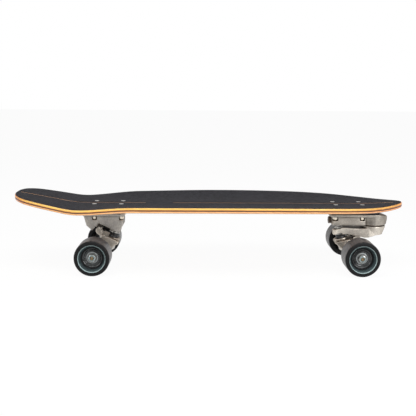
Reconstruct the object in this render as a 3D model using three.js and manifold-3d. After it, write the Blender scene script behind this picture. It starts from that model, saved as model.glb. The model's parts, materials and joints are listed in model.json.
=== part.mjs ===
// Surf skateboard. Lengths are millimetres, angles are radians.
// +X points to the nose, +Z points up, and the four wheels stand on z = 0.
// The origin lies under the middle of the deck.
import * as THREE from 'three';
import { mergeVertices } from 'three/addons/utils/BufferGeometryUtils.js';
import Module from 'manifold-3d';

const wasm = await Module();
wasm.setup();

const degree = Math.PI / 180;
const fullTurn = 2 * Math.PI;

// Clearances shared by all pieces
const seatGap = 0.3;
const runningGap = 0.4;
const glueLine = 0.15;
const cutOverrun = 2;
const leastSpringGap = 0.4;

// Deck: a laminate pressed in a mould whose hollow is the same all along
const deckLength = 782.7;
const deckWidth = 254;
const deckThickness = 10.2;
const railRound = 3.2;
const topRailRound = 1.4;
const flatHalfWidth = 26;
const concaveDepth = 9.3;
const tailBendFromTail = 120.5;
const tailBendHalf = 17;
const tailAngle = 10.6 * degree;
const tailFlatReach = 118;
const noseRiseLength = 104;
const noseRise = 4.5;
const tailSpineShare = 0.84;
const noseSpineShare = 0.8;
const outlineSteps = 2;
// Half outline from tail tip to nose tip: along the half length, across the half width
const outlineShares = [
  [-1, 0], [-0.9977, 0.19], [-0.9783, 0.42], [-0.931, 0.6], [-0.855, 0.695], [-0.714, 0.785],
  [-0.563, 0.872], [-0.312, 0.943], [-0.06, 0.994], [0.121, 1], [0.322, 0.975], [0.523, 0.91],
  [0.684, 0.79], [0.815, 0.602], [0.916, 0.366], [0.979, 0.165], [0.9962, 0.07], [1, 0],
];
const ringShares = [0, 0.5];

// Grip: one sheet, die-cut with two thin slots that show the wood along the middle
const gripThickness = 0.6;
const slotWidth = 6.6;
const tailSlotInset = 14;
const tailSlotLength = 246;
const noseSlotInset = 37.2;
const noseSlotLength = 430;

// Where the trucks sit under the deck
const rearTruckFromTail = 185.1;
const frontTruckFromNose = 111.1;
const boltSpacingAlong = 54;
const boltSpacingAcross = 41.3;
const riserThickness = 8;
const riserCorner = 7;
const rearRiserLength = 78;
const frontRiserLength = 99;
const riserWidth = 57;
const frontRiserShift = 12;
const rearRiserShift = -8.5;

// Deck bolts and their nuts
const boltRadius = 2.4;
const boltHeadRadius = 4.6;
const boltHeadDepth = 2.6;
const boltHeadCrown = 0.4;
const boltTail = 1.2;
const deckNutRadius = 5.3;
const deckNutHeight = 5;

// Sizes that both trucks share
const axleDrop = 71.8;
const flangeThickness = 5.6;
const flangeHalfWidth = 28;
const axleRadius = 4;
const axleLength = 235;
const axleChamfer = 0.8;
const hangerLength = 165;
const barrelRadius = 8.2;
const wingReach = 16;
const wingDepth = 10.5;
const wingShift = 7.5;
const ringRadius = 14;
const ringHalf = 5.5;
const ringBore = 7.2;
const bushingSeatDepth = 2;
const kingRadius = 4.76;
const kingHeadRadius = 8.2;
const kingHeadHeight = 5;
const kingTail = 2;
const kingNutRadius = 8.2;
const kingNutHeight = 6;
const bushingRadius = 10;
const bushingWaist = 9.2;
const bushingTip = 7.6;
const lowerBushingHeight = 8.5;
const washerRadius = 10.6;
const washerThickness = 2;
const lowerWasherRadius = 8.6;
const noseBallRadius = 5;
const noseRootShare = 0.7;
const cupRadius = 7;
const cupDepth = 11;
const cupFloor = 2;
const beamHalfWidth = 8;
const beamDepth = 10;
// The beam between ring and nose: along the share of the way to the mouth, up the share of its depth
const beamTopShares = [[0.05, 0.35], [0.28, -0.2], [0.55, -0.3], [0.76, 0], [0.9, 0.3]];
const beamFootShares = [[0.92, -0.6], [0.8, -1.2], [0.55, -1.2], [0.28, -1], [0.05, -0.9]];
const kingSway = 6.6;
const gussetHalfWidth = 21.5;
const gussetHeelReach = 10.5;
const gussetHeelDrop = 1.5;
const gussetHeelRadius = 3.5;
const gussetToeReach = 1.6;
const gussetToeRadius = 4;
const gussetNoseReach = 19;
const gussetNoseDrop = 6;
const wingStationShares = [-1, -0.94, -0.66, -0.34, -0.13, 0.13, 0.34, 0.66, 0.94, 1];
const wingRootShare = 0.05;
const wingTipShare = 0.8;

// Rear truck: ring centre and axle from the truck's place and the top of its base
const rearRingAlong = 6.9;
const rearRingDrop = 56.3;
const rearAxleAlong = -21.1;
const rearKingLean = 16 * degree;
const rearPivotAngle = 137 * degree;
const rearMouth = 43.5;
const rearGussetToeDrop = 12.4;
const rearUpperBushingHeight = 11;
const rearBaseTail = -51;
const rearBaseNose = 32;
const rearBodyHalfWidth = 24.5;
const rearWall = 5;
const rearCeilingDrop = 12;
const rearCheekDrop = 24.7;
const rearCheekInset = 1.6;
const rearHeelInset = 7.4;
const rearLegHalf = 11;
const rearNotchHalf = 9.5;
const rearSkirtDrop = 35;
const rearSkirtTail = 12.3;
const rearSkirtNose = 23.4;
const rearRoomTail = -13;
const rearRoomNose = 25;
const rearBossRadius = 11.5;
const rearNoseInset = 2.2;
const flangeCorner = 7;
const rearKingHeadPlace = 44;
const headPocketRadius = 9;

// Front truck: the same, and the arm that swings about an upright pivot
const frontRingAlong = -10.1;
const frontRingDrop = 56.3;
const frontAxleAlong = 11.5;
const frontKingLean = -14 * degree;
const frontPivotAngle = 22.5 * degree;
const frontMouth = 43.2;
const frontGussetToeDrop = 18.8;
const frontUpperBushingHeight = 10;
const armPivotAlong = 53.9;
const housingTail = -37;
const housingDrop = 22.3;
const housingWallHalf = 24.5;
const housingWallTail = -33;
const housingWallNose = 35;
const housingWallCorner = 3.5;
const housingTailStep = 4;
const housingNoseFoot = 26;
const housingShoulderDrop = 12;
const noseBevelStart = 62;
const noseBevelDrop = 5.4;
const nutPocketRadius = 6;
const nutPocketHeight = 7.2;
const springAxisDrop = 14.8;
const springBoreRadius = 8;
const springBoreTail = -28;
const postRadius = 14;
const postTopDrop = 9.3;
const postFlat = 12;
const postBoreTopDrop = 8.7;
const pivotBoltRadius = 4;
const pivotHeadRadius = 7.6;
const pivotHeadHeight = 4.4;
const pivotHeadSeat = 5.2;
const pivotNutRadius = 7.5;
const pivotNutHeight = 6.4;
const pivotWasherRadius = 8.5;
const pivotWasherThickness = 1.5;
const thrustInner = 15.6;
const thrustOuter = 21;
const thrustThickness = 1.9;
const hubRadius = 25;
const hubFoot = 19;
const hubBottomDrop = 43.3;
const hubCounterbore = 9;
const hubCounterboreDepth = 7.2;
const armWebTail = 13;
const armWebNose = 21.5;
const armWebNoseShift = -8;
const armWebStart = -28;
const armWebLength = 95;
const armWebDrop = 22.8;
const armWebDepth = 26;
// The web seen from the side: along the share of its length, down the share of its depth
const armTopShares = [
  [0, 0.52], [0.03, 0.34], [0.065, 0.23], [0.31, 0.225], [0.5, 0.27], [0.72, 0.215], [0.82, 0.08], [1, 0],
];
const armFootShares = [
  [1, 0.7], [0.84, 0.85], [0.676, 1], [0.537, 0.885], [0.4, 0.815], [0.29, 0.75], [0.18, 0.8], [0, 0.85],
];
const bossRadius = 12;
const bossThickness = 9;
const bossRecessDepth = 2;
const slotHalfWidth = 11.4;
const slotRise = 6.5;

// Return spring, its adjuster and its plunger
const springWire = 2.8;
const springOuterRadius = 7.5;
const springCurls = 8;
const springEndCurls = 1;
const springSteps = 8;
const springSides = 5;
const springEndGap = 0.55;
const springStart = -20.5;
const springEnd = 25;
const adjusterHexRadius = 7.4;
const adjusterHexLength = 5;
const adjusterRadius = 5.6;
const adjusterPad = 7;
const plungerRadius = 7.6;
const plungerCrown = 3;

// Wheels
const wheelDiameter = 69;
const wheelWidth = 51;
const wheelPlace = 95.5;
const wheelSegments = 28;
const treadHalf = 20.8;
const treadShoulder = 0.9;
const treadShoulderPlace = 24;
const lipOuter = 32;
const lipInner = 28;
const dishRadius = 22;
const dishDepth = 10;
const coreRadius = 18.5;
const coreHalf = 13.4;
const coreLipRadius = 13;
const coreInnerRadius = 6.4;
const bearingRadius = 11;
const bearingWidth = 7;
const bearingSpacing = 10;
const bearingStep = 1;
const axleNutRadius = 7.3;
const axleNutHeight = 6.5;
const axleNutChamfer = 1;
const speedWasher = 1;
const speedWasherRadius = 6.2;
const hangerEndRadius = 6.2;

// Facets of round forms
const fineFacets = 20;
const plainFacets = 14;
const boltFacets = 10;
const hexFacets = 6;

// Heights that follow from the sizes above
const axleHeight = wheelDiameter / 2;
const baseTop = axleHeight + axleDrop;
const deckBottom = baseTop + riserThickness + 2 * seatGap;
const deckTop = deckBottom + deckThickness;
const gripBottom = deckTop + glueLine;
const gripTop = gripBottom + gripThickness;

// Places along the board that follow from the deck's ends
const tailEnd = -deckLength / 2;
const noseEnd = deckLength / 2;
const tailBendPlace = tailEnd + tailBendFromTail;
const rearTruckPlace = tailEnd + rearTruckFromTail;
const frontTruckPlace = noseEnd - frontTruckFromNose;

// Finishes
function finish(colour, roughness, metalness) {
  return new THREE.MeshStandardMaterial({ color: colour, roughness, metalness });
}
const woodFinish = finish('#f4cd84', 0.55, 0);
const gripFinish = finish('#3e3e43', 0.95, 0);
const castFinish = finish('#a29a90', 0.5, 0.85);
const steelFinish = finish('#b9b7b2', 0.35, 0.95);
const darkSteelFinish = finish('#4a4846', 0.45, 0.9);
const rubberFinish = finish('#191c25', 0.8, 0);
const bushingFinish = finish('#2b2a2c', 0.6, 0);
const tyreFinish = finish('#3a3c40', 0.5, 0);
const coreFinish = finish('#17181b', 0.5, 0);
const cupFinish = finish('#202124', 0.6, 0);

// Solids
function weldedGeometry(geometry) {
  const bare = geometry.clone();
  bare.deleteAttribute('normal');
  bare.deleteAttribute('uv');
  const merged = mergeVertices(bare);
  const index = merged.getIndex().array;
  const kept = [];
  for (let i = 0; i < index.length; i += 3) {
    const [a, b, c] = [index[i], index[i + 1], index[i + 2]];
    if (a !== b && b !== c && c !== a) kept.push(a, b, c);
  }
  merged.setIndex(kept);
  return merged;
}

function solidOf(geometry) {
  const welded = weldedGeometry(geometry);
  return new wasm.Manifold(new wasm.Mesh({
    numProp: 3,
    vertProperties: new Float32Array(welded.getAttribute('position').array),
    triVerts: new Uint32Array(welded.getIndex().array),
  }));
}

function geometryOf(solid) {
  const mesh = solid.getMesh();
  const geometry = new THREE.BufferGeometry();
  geometry.setAttribute('position', new THREE.BufferAttribute(mesh.vertProperties, 3));
  geometry.setIndex(new THREE.BufferAttribute(mesh.triVerts, 1));
  geometry.computeVertexNormals();
  return geometry;
}

function joined(...geometries) {
  return geometries.map(solidOf).reduce((sum, next) => sum.add(next));
}

function cutFrom(solid, ...geometries) {
  return geometries.map(solidOf).reduce((rest, next) => rest.subtract(next), solid);
}

// A revolved form about Z, from radius and height pairs that start and end on the axis
function turned(profile, facets = fineFacets, phase = 0) {
  const points = profile.map(([radius, height]) => new THREE.Vector2(radius, height));
  return new THREE.LatheGeometry(points, facets, phase).rotateX(Math.PI / 2);
}

// A revolved form about Y, from radius and lateral place pairs that close on themselves
function turnedAcross(profile, facets = fineFacets) {
  const points = [...profile, profile[0]].map(([radius, place]) => new THREE.Vector2(radius, place));
  return new THREE.LatheGeometry(points, facets, Math.PI / facets);
}

function rod(radius, from, to, facets = fineFacets, phase = 0) {
  const low = Math.min(from, to);
  const high = Math.max(from, to);
  return turned([[0, low], [radius, low], [radius, high], [0, high]], facets, phase);
}

function ring(inner, outer, low, high, facets = plainFacets) {
  return turned([[inner, low], [outer, low], [outer, high], [inner, high], [inner, low]], facets);
}

// A prism seen from the side: the shape's x and y become X and Z
function sidePrism(shape, halfWidth, curveSegments = 5) {
  const geometry = new THREE.ExtrudeGeometry(shape, {
    depth: 2 * halfWidth, bevelEnabled: false, curveSegments,
  });
  return geometry.rotateX(Math.PI / 2).translate(0, halfWidth, 0);
}

// A prism seen from above
function planPrism(shape, low, high, curveSegments = 5) {
  const geometry = new THREE.ExtrudeGeometry(shape, {
    depth: high - low, bevelEnabled: false, curveSegments,
  });
  return geometry.translate(0, 0, low);
}

// The outline of a belt drawn tight round circles that are listed anticlockwise
function beltShape(circles) {
  const shape = new THREE.Shape();
  const leaving = circles.map((from, i) => {
    const to = circles[(i + 1) % circles.length];
    const heading = Math.atan2(to.y - from.y, to.x - from.x);
    const span = Math.hypot(to.x - from.x, to.y - from.y);
    return heading - Math.acos((from.r - to.r) / span);
  });
  circles.forEach(({ x, y, r }, i) => {
    const start = leaving[(i + circles.length - 1) % circles.length];
    let end = leaving[i];
    while (end < start) end += fullTurn;
    shape.absarc(x, y, r, start, end, false);
  });
  return shape;
}

function roundedRectangle(left, right, halfWidth, corner) {
  return beltShape([
    { x: left + corner, y: corner - halfWidth, r: corner },
    { x: right - corner, y: corner - halfWidth, r: corner },
    { x: right - corner, y: halfWidth - corner, r: corner },
    { x: left + corner, y: halfWidth - corner, r: corner },
  ]);
}

// Rings of points joined by strips; the first and last ring lie flat on a line or a point.
// The two halves take opposite diagonals, so that a top and a bottom face share their folds.
function ringedGeometry(rings, closedEnds = true) {
  const count = rings[0].length;
  const positions = rings.flat().flatMap(({ x, y, z }) => [x, y, z]);
  const index = [];
  for (let level = 0; level < rings.length - 1; level += 1) {
    for (let k = 0; k < count; k += 1) {
      const next = (k + 1) % count;
      const [a, b] = [level * count + k, level * count + next];
      const [c, d] = [a + count, b + count];
      if (level < (rings.length - 1) / 2) index.push(a, b, c, b, d, c);
      else index.push(a, b, d, a, d, c);
    }
  }
  if (!closedEnds) {
    const last = (rings.length - 1) * count;
    for (let k = 1; k < count - 1; k += 1) {
      index.push(0, k + 1, k);
      index.push(last, last + k, last + k + 1);
    }
  }
  const geometry = new THREE.BufferGeometry();
  geometry.setAttribute('position', new THREE.Float32BufferAttribute(positions, 3));
  geometry.setIndex(index);
  return geometry;
}

// A place and a lean in the board's middle plane; local Z leans towards +X by the angle
function leaning(x, z, angle) {
  return new THREE.Matrix4().makeRotationY(angle).setPosition(x, 0, z);
}

// The deck's form
const tailSpine = tailSpineShare * tailEnd;
const noseSpine = noseSpineShare * noseEnd;

function pressedRise(x, y) {
  const pastBend = tailBendPlace + tailBendHalf - x;
  const bendLength = 2 * tailBendHalf;
  const inBend = THREE.MathUtils.clamp(pastBend, 0, bendLength);
  const beyond = Math.max(0, pastBend - bendLength);
  const tailRise = Math.tan(tailAngle) * (inBend * inBend / (2 * bendLength) + beyond);
  const noseShare = Math.max(0, x - noseEnd + noseRiseLength) / noseRiseLength;
  const across = Math.max(0, Math.abs(y) - flatHalfWidth) / (deckWidth / 2 - flatHalfWidth);
  const hollow = concaveDepth * THREE.MathUtils.smoothstep(x, tailBendPlace, tailBendPlace + tailFlatReach);
  return tailRise + noseRise * noseShare ** 2 + hollow * across ** 2;
}

function wholeOutline() {
  const curve = new THREE.CatmullRomCurve3(outlineShares.map(([along, across]) => (
    new THREE.Vector3(along * deckLength / 2, -across * deckWidth / 2, 0)
  )), false, 'centripetal');
  const half = curve.getPoints((outlineShares.length - 1) * outlineSteps);
  const mirrored = half.slice(1, -1).reverse().map(({ x, y }) => new THREE.Vector3(x, -y, 0));
  return [...half, ...mirrored];
}
const outline = wholeOutline();

function insetOutline(inset) {
  return outline.map((point, k) => {
    const before = outline[(k + outline.length - 1) % outline.length];
    const after = outline[(k + 1) % outline.length];
    const along = after.clone().sub(before).normalize();
    return new THREE.Vector3(point.x - along.y * inset, point.y + along.x * inset, 0);
  });
}

// One ring of a face, a share of the way from the flat middle strip to the outline
function innerRing(share, base) {
  return outline.map((point) => {
    const spine = THREE.MathUtils.clamp(point.x, tailSpine, noseSpine);
    const reach = Math.hypot(point.x - spine, point.y);
    const distance = share === null ? 0 : flatHalfWidth + (reach - flatHalfWidth) * share;
    const x = spine + (point.x - spine) * distance / reach;
    const y = point.y * distance / reach;
    return { x, y, z: base + pressedRise(x, y) };
  });
}

function edgeRing(inset, base) {
  return insetOutline(inset).map(({ x, y }) => ({ x, y, z: base + pressedRise(x, y) }));
}

// A sheet between two heights, with the rings of its rail between its two faces
function boardGeometry(bottom, top, railRings) {
  const faces = [null, ...ringShares];
  return ringedGeometry([
    ...faces.map((share) => innerRing(share, bottom)),
    ...railRings,
    ...faces.reverse().map((share) => innerRing(share, top)),
  ]);
}

const truckPlaces = [rearTruckPlace, frontTruckPlace];
const boltPlaces = truckPlaces.flatMap((place) => [-1, 1].flatMap((along) => [-1, 1].map((across) => ({
  x: place + along * boltSpacingAlong / 2,
  y: across * boltSpacingAcross / 2,
}))));

// The space a deck bolt needs, with its sunk head
function boltClearance({ x, y }) {
  const wide = boltHeadRadius + seatGap;
  const thin = boltRadius + seatGap;
  const low = baseTop - flangeThickness - cutOverrun;
  return turned([
    [0, low], [thin, low], [thin, gripTop - boltHeadDepth - seatGap],
    [wide, gripTop - seatGap], [wide, gripTop + cutOverrun], [0, gripTop + cutOverrun],
  ], boltFacets).translate(x, y, 0);
}
const boltClearances = boltPlaces.map(boltClearance);

function deck() {
  const board = solidOf(boardGeometry(deckBottom, deckTop, [
    edgeRing(railRound, deckBottom),
    edgeRing(0, deckBottom + railRound),
    edgeRing(0, deckTop - topRailRound),
    edgeRing(topRailRound, deckTop),
  ]));
  return cutFrom(board, ...boltClearances);
}

function gripTape() {
  const sheet = solidOf(boardGeometry(gripBottom, gripTop, [
    edgeRing(topRailRound, gripBottom),
    edgeRing(topRailRound, gripTop),
  ]));
  const tailSlotPlace = tailEnd + tailSlotInset + tailSlotLength / 2;
  const noseSlotPlace = noseEnd - noseSlotInset - noseSlotLength / 2;
  const slots = [[tailSlotPlace, tailSlotLength], [noseSlotPlace, noseSlotLength]].map(([place, length]) => (
    new THREE.BoxGeometry(length, slotWidth, deckLength).translate(place, 0, gripTop)
  ));
  return cutFrom(sheet, ...slots, ...boltClearances);
}

function riser(place, length, shift) {
  const middle = place + shift;
  const pad = roundedRectangle(middle - length / 2, middle + length / 2, riserWidth / 2, riserCorner);
  const low = baseTop + seatGap;
  return cutFrom(solidOf(planPrism(pad, low, low + riserThickness, 4)), ...boltClearances);
}

function deckBolt() {
  const nutTop = baseTop - flangeThickness - seatGap;
  const end = nutTop - deckNutHeight - boltTail;
  const bolt = turned([
    [0, end], [boltRadius, end], [boltRadius, gripTop - boltHeadDepth],
    [boltHeadRadius, gripTop], [boltHeadRadius / 2, gripTop + boltHeadCrown], [0, gripTop + boltHeadCrown],
  ], boltFacets);
  const nut = rod(deckNutRadius, nutTop - deckNutHeight, nutTop, hexFacets);
  return joined(bolt, nut);
}

// A truck's places in the board's middle plane: the ring on the kingpin, the axle and the pivot
function truckFrame(sizes) {
  const { place, ringAlong, ringDrop, axleAlong, kingLean, pivotAngle, mouth, toeDrop, upperBushing } = sizes;
  const ringX = place + ringAlong;
  const ringZ = baseTop - ringDrop;
  return {
    place,
    facing: Math.sign(Math.cos(pivotAngle)),
    ringX,
    ringZ,
    axleX: place + axleAlong,
    kingLean,
    pivotAngle,
    mouth,
    toeDrop,
    upperBushing,
    king: leaning(ringX, ringZ, kingLean),
    pivot: leaning(ringX, ringZ, Math.PI / 2 - pivotAngle),
    seat: ringHalf - bushingSeatDepth + upperBushing + washerThickness + 4 * seatGap,
  };
}

// A point by its distance along the kingpin or the pivot line and its offset square to it
function pointOn(matrix, along, offset) {
  const point = new THREE.Vector3(offset, 0, along).applyMatrix4(matrix);
  return new THREE.Vector2(point.x, point.z);
}

const rear = truckFrame({
  place: rearTruckPlace,
  ringAlong: rearRingAlong,
  ringDrop: rearRingDrop,
  axleAlong: rearAxleAlong,
  kingLean: rearKingLean,
  pivotAngle: rearPivotAngle,
  mouth: rearMouth,
  toeDrop: rearGussetToeDrop,
  upperBushing: rearUpperBushingHeight,
});
const front = truckFrame({
  place: frontTruckPlace,
  ringAlong: frontRingAlong,
  ringDrop: frontRingDrop,
  axleAlong: frontAxleAlong,
  kingLean: frontKingLean,
  pivotAngle: frontPivotAngle,
  mouth: frontMouth,
  toeDrop: frontGussetToeDrop,
  upperBushing: frontUpperBushingHeight,
});

// Hanger: two tapering wings round the axle, a ring on the kingpin and a nose for the pivot cup
function hangerWings(frame) {
  const half = hangerLength / 2;
  const lean = Math.atan2(frame.ringZ - axleHeight, frame.ringX - frame.axleX);
  const rings = wingStationShares.map((station) => {
    const endShare = THREE.MathUtils.smoothstep(Math.abs(station), wingRootShare, wingTipShare);
    const long = THREE.MathUtils.lerp(wingReach, barrelRadius, endShare);
    const deep = THREE.MathUtils.lerp(wingDepth, barrelRadius, endShare);
    const shift = THREE.MathUtils.lerp(wingShift, 0, endShare);
    return Array.from({ length: plainFacets }, (_, k) => {
      const turn = -fullTurn * k / plainFacets;
      const u = shift + long * Math.cos(turn);
      const v = deep * Math.sin(turn);
      return {
        x: frame.axleX + u * Math.cos(lean) - v * Math.sin(lean),
        y: station * half,
        z: axleHeight + u * Math.sin(lean) + v * Math.cos(lean),
      };
    });
  });
  return ringedGeometry(rings, false);
}

function circleOn(matrix, along, offset, r) {
  const { x, y } = pointOn(matrix, along, offset);
  return { x, y, r };
}

// The side walls beside the kingpin, from the ring's heel down to the axle and on to the beam
function gussetShape(frame) {
  const { facing, king, pivot, axleX, toeDrop } = frame;
  const circles = [
    circleOn(king, -gussetHeelDrop, -facing * gussetHeelReach, gussetHeelRadius),
    circleOn(king, -toeDrop, facing * gussetToeReach, gussetToeRadius),
    { x: axleX, y: axleHeight, r: barrelRadius },
    circleOn(pivot, gussetNoseReach, facing * gussetNoseDrop, gussetToeRadius),
  ];
  return beltShape(facing > 0 ? circles : circles.reverse());
}

// The beam sags under the pivot line, clear of the upper bushing
function beamShape(frame) {
  const place = ([along, up]) => pointOn(frame.pivot, along * frame.mouth, -frame.facing * up * beamDepth);
  const top = beamTopShares.map(place);
  const foot = beamFootShares.map(place);
  const shape = new THREE.Shape();
  shape.moveTo(top[0].x, top[0].y);
  shape.splineThru(top.slice(1));
  shape.lineTo(foot[0].x, foot[0].y);
  shape.splineThru(foot.slice(1));
  return shape;
}

function hangerNose(frame) {
  const ballPlace = frame.mouth + cupDepth - cupFloor - noseBallRadius - runningGap;
  const shoulder = noseBallRadius * Math.SQRT1_2;
  const root = noseRootShare * frame.mouth;
  return turned([
    [0, root], [noseBallRadius, root], [noseBallRadius, ballPlace],
    [shoulder, ballPlace + shoulder], [0, ballPlace + noseBallRadius],
  ], plainFacets).applyMatrix4(frame.pivot);
}

const bearingFace = wheelPlace - bearingSpacing / 2 - bearingWidth;

function hanger(frame) {
  const ringBody = rod(ringRadius, -ringHalf, ringHalf).applyMatrix4(frame.king);
  const gusset = sidePrism(gussetShape(frame), gussetHalfWidth, 3);
  const beam = sidePrism(beamShape(frame), beamHalfWidth, 2);
  const endBoss = rod(hangerEndRadius, seatGap - bearingFace, bearingFace - seatGap, plainFacets)
    .rotateX(Math.PI / 2).translate(frame.axleX, 0, axleHeight);
  const body = joined(hangerWings(frame), ringBody, gusset, beam, hangerNose(frame), endBoss);
  const kingSpace = rod(ringBore, -2 * ringRadius, 2 * ringRadius, plainFacets).applyMatrix4(frame.king);
  const seatRadius = bushingRadius + seatGap;
  const seatFrom = ringHalf - bushingSeatDepth;
  const upperSeat = rod(seatRadius, seatFrom, 2 * ringRadius).applyMatrix4(frame.king);
  const lowerSeat = rod(seatRadius, -seatFrom, -2 * ringRadius).applyMatrix4(frame.king);
  const aboveRing = rod(ringRadius + runningGap, ringHalf, 2 * ringRadius).applyMatrix4(frame.king);
  const swayOutline = beltShape([
    { x: 0, y: -kingSway, r: washerRadius + runningGap },
    { x: 0, y: kingSway, r: washerRadius + runningGap },
  ]);
  const swaySpace = planPrism(swayOutline, -3 * ringRadius, -ringHalf, 6).applyMatrix4(frame.king);
  const axleBore = rod(axleRadius + seatGap, -bearingFace, bearingFace, plainFacets)
    .rotateX(Math.PI / 2).translate(frame.axleX, 0, axleHeight);
  return cutFrom(body, aboveRing, kingSpace, upperSeat, lowerSeat, swaySpace, axleBore);
}

function axle(frame) {
  const end = axleLength / 2;
  return turned([
    [0, -end], [axleRadius - axleChamfer, -end], [axleRadius, axleChamfer - end],
    [axleRadius, end - axleChamfer], [axleRadius - axleChamfer, end], [0, end],
  ], plainFacets).rotateX(Math.PI / 2).translate(frame.axleX, 0, axleHeight);
}

// Kingpin stack, drawn along the kingpin from the ring's middle
const lowerBushingTop = bushingSeatDepth - ringHalf - seatGap;
const lowerBushingEnd = lowerBushingTop - lowerBushingHeight;
const lowerWasherTop = lowerBushingEnd - seatGap;
const kingNutTop = lowerWasherTop - washerThickness - seatGap;

function kingpin(frame, headSeat) {
  const end = kingNutTop - kingNutHeight - kingTail;
  const shank = rod(kingRadius, end, headSeat + kingHeadHeight / 2, boltFacets);
  const head = rod(kingHeadRadius, headSeat + seatGap, headSeat + seatGap + kingHeadHeight, hexFacets);
  return joined(shank, head).transform([...frame.king.elements]);
}

function upperBushing(frame) {
  const low = ringHalf - bushingSeatDepth + seatGap;
  const high = low + frame.upperBushing;
  const bore = kingRadius + seatGap;
  const middle = (low + high) / 2;
  return turned([
    [bore, low], [bushingRadius, low], [bushingRadius, low + bushingSeatDepth],
    [bushingWaist, middle], [bushingRadius, high - bushingSeatDepth], [bushingRadius, high],
    [bore, high], [bore, low],
  ], plainFacets).applyMatrix4(frame.king);
}

function lowerBushing(frame) {
  const bore = kingRadius + seatGap;
  return turned([
    [bore, lowerBushingEnd], [bushingTip, lowerBushingEnd],
    [bushingRadius, lowerBushingTop - bushingSeatDepth], [bushingRadius, lowerBushingTop],
    [bore, lowerBushingTop], [bore, lowerBushingEnd],
  ], plainFacets).applyMatrix4(frame.king);
}

function upperWasher(frame) {
  const low = ringHalf - bushingSeatDepth + frame.upperBushing + 2 * seatGap;
  return ring(kingRadius + seatGap, washerRadius, low, low + washerThickness).applyMatrix4(frame.king);
}

function lowerWasher(frame) {
  const low = lowerWasherTop - washerThickness;
  return ring(kingRadius + seatGap, lowerWasherRadius, low, lowerWasherTop).applyMatrix4(frame.king);
}

function kingNut(frame) {
  const low = kingNutTop - kingNutHeight;
  const nut = rod(kingNutRadius, low, kingNutTop, hexFacets);
  const bore = rod(kingRadius + seatGap, low - cutOverrun, kingNutTop + cutOverrun, boltFacets);
  return cutFrom(solidOf(nut), bore).transform([...frame.king.elements]);
}

function pivotCup(frame) {
  const open = frame.mouth + seatGap;
  const end = frame.mouth + cupDepth;
  const inner = noseBallRadius + runningGap;
  const floor = end - cupFloor;
  return turned([
    [inner, open], [cupRadius, open], [cupRadius, end], [0, end], [0, floor], [inner, floor - inner / 2],
    [inner, open],
  ], plainFacets).applyMatrix4(frame.pivot);
}

// Cuts that both trucks' cup bosses need
function cupPocket(frame) {
  return rod(cupRadius + seatGap, frame.mouth - cutOverrun, frame.mouth + cupDepth + seatGap, plainFacets)
    .applyMatrix4(frame.pivot);
}

function nutPockets(place) {
  const top = baseTop - flangeThickness;
  const pocket = rod(nutPocketRadius, top - nutPocketHeight, top, plainFacets);
  return [-1, 1].flatMap((along) => [-1, 1].map((across) => pocket.clone().translate(
    place + along * boltSpacingAlong / 2,
    across * boltSpacingAcross / 2,
    0,
  )));
}

// The room round the hanger's nose below the pivot cup, open downwards
function pivotSlot(frame, halfWidth) {
  const { pivot, facing, mouth } = frame;
  return sidePrism(new THREE.Shape([
    pointOn(pivot, 0, -facing * slotRise),
    pointOn(pivot, mouth, -facing * slotRise),
    pointOn(pivot, mouth, facing * 2 * mouth),
    pointOn(pivot, 0, facing * 2 * mouth),
  ]), halfWidth);
}

// Rear base: a tall casting with a leg for the pivot cup and a boss for the kingpin
function rearBase() {
  const tail = rearTruckPlace + rearBaseTail;
  const nose = rearTruckPlace + rearBaseNose;
  const flange = planPrism(
    roundedRectangle(tail, nose, flangeHalfWidth, flangeCorner),
    baseTop - flangeThickness,
    baseTop,
    4,
  );
  const underFlange = baseTop - flangeThickness / 2;
  const skirt = baseTop - rearSkirtDrop;
  const cheek = new THREE.Shape([
    new THREE.Vector2(tail + rearCheekInset, underFlange),
    new THREE.Vector2(tail + rearHeelInset, baseTop - rearCheekDrop),
    pointOn(rear.pivot, rearMouth, -rearLegHalf),
    pointOn(rear.pivot, rearMouth, rearNotchHalf),
    new THREE.Vector2(rearTruckPlace + rearSkirtTail, skirt),
    new THREE.Vector2(rearTruckPlace + rearSkirtNose, skirt),
    new THREE.Vector2(nose - rearNoseInset, baseTop - rearCheekDrop),
    new THREE.Vector2(nose - rearNoseInset / 2, underFlange),
  ]);
  const body = sidePrism(cheek, rearBodyHalfWidth);
  const room = new THREE.BoxGeometry(
    rearRoomNose - rearRoomTail,
    2 * (rearBodyHalfWidth - rearWall),
    rearSkirtDrop,
  ).translate(
    rearTruckPlace + (rearRoomNose + rearRoomTail) / 2,
    0,
    baseTop - rearCeilingDrop - rearSkirtDrop / 2,
  );
  const boss = rod(rearBossRadius, rear.seat, rearKingHeadPlace).applyMatrix4(rear.king);
  const kingBore = rod(kingRadius + seatGap, 0, 2 * rearKingHeadPlace, boltFacets).applyMatrix4(rear.king);
  const headPocket = rod(headPocketRadius, rearKingHeadPlace, 2 * rearKingHeadPlace, plainFacets)
    .applyMatrix4(rear.king);
  const casting = cutFrom(joined(flange, body), room, pivotSlot(rear, slotHalfWidth)).add(solidOf(boss));
  return cutFrom(
    casting, kingBore, headPocket, cupPocket(rear), ...nutPockets(rearTruckPlace), ...boltClearances,
  );
}

// Front housing: a flanged casting that holds the return spring and the arm's pivot
const armPivotX = frontTruckPlace + armPivotAlong;
const housingBottom = baseTop - housingDrop;
const springAxis = baseTop - springAxisDrop;
const hubTop = housingBottom - thrustThickness - 2 * seatGap;
const hubBottom = baseTop - hubBottomDrop;
const postTop = baseTop - postTopDrop;

function alongBoard(geometry) {
  return geometry.rotateY(Math.PI / 2);
}

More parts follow.
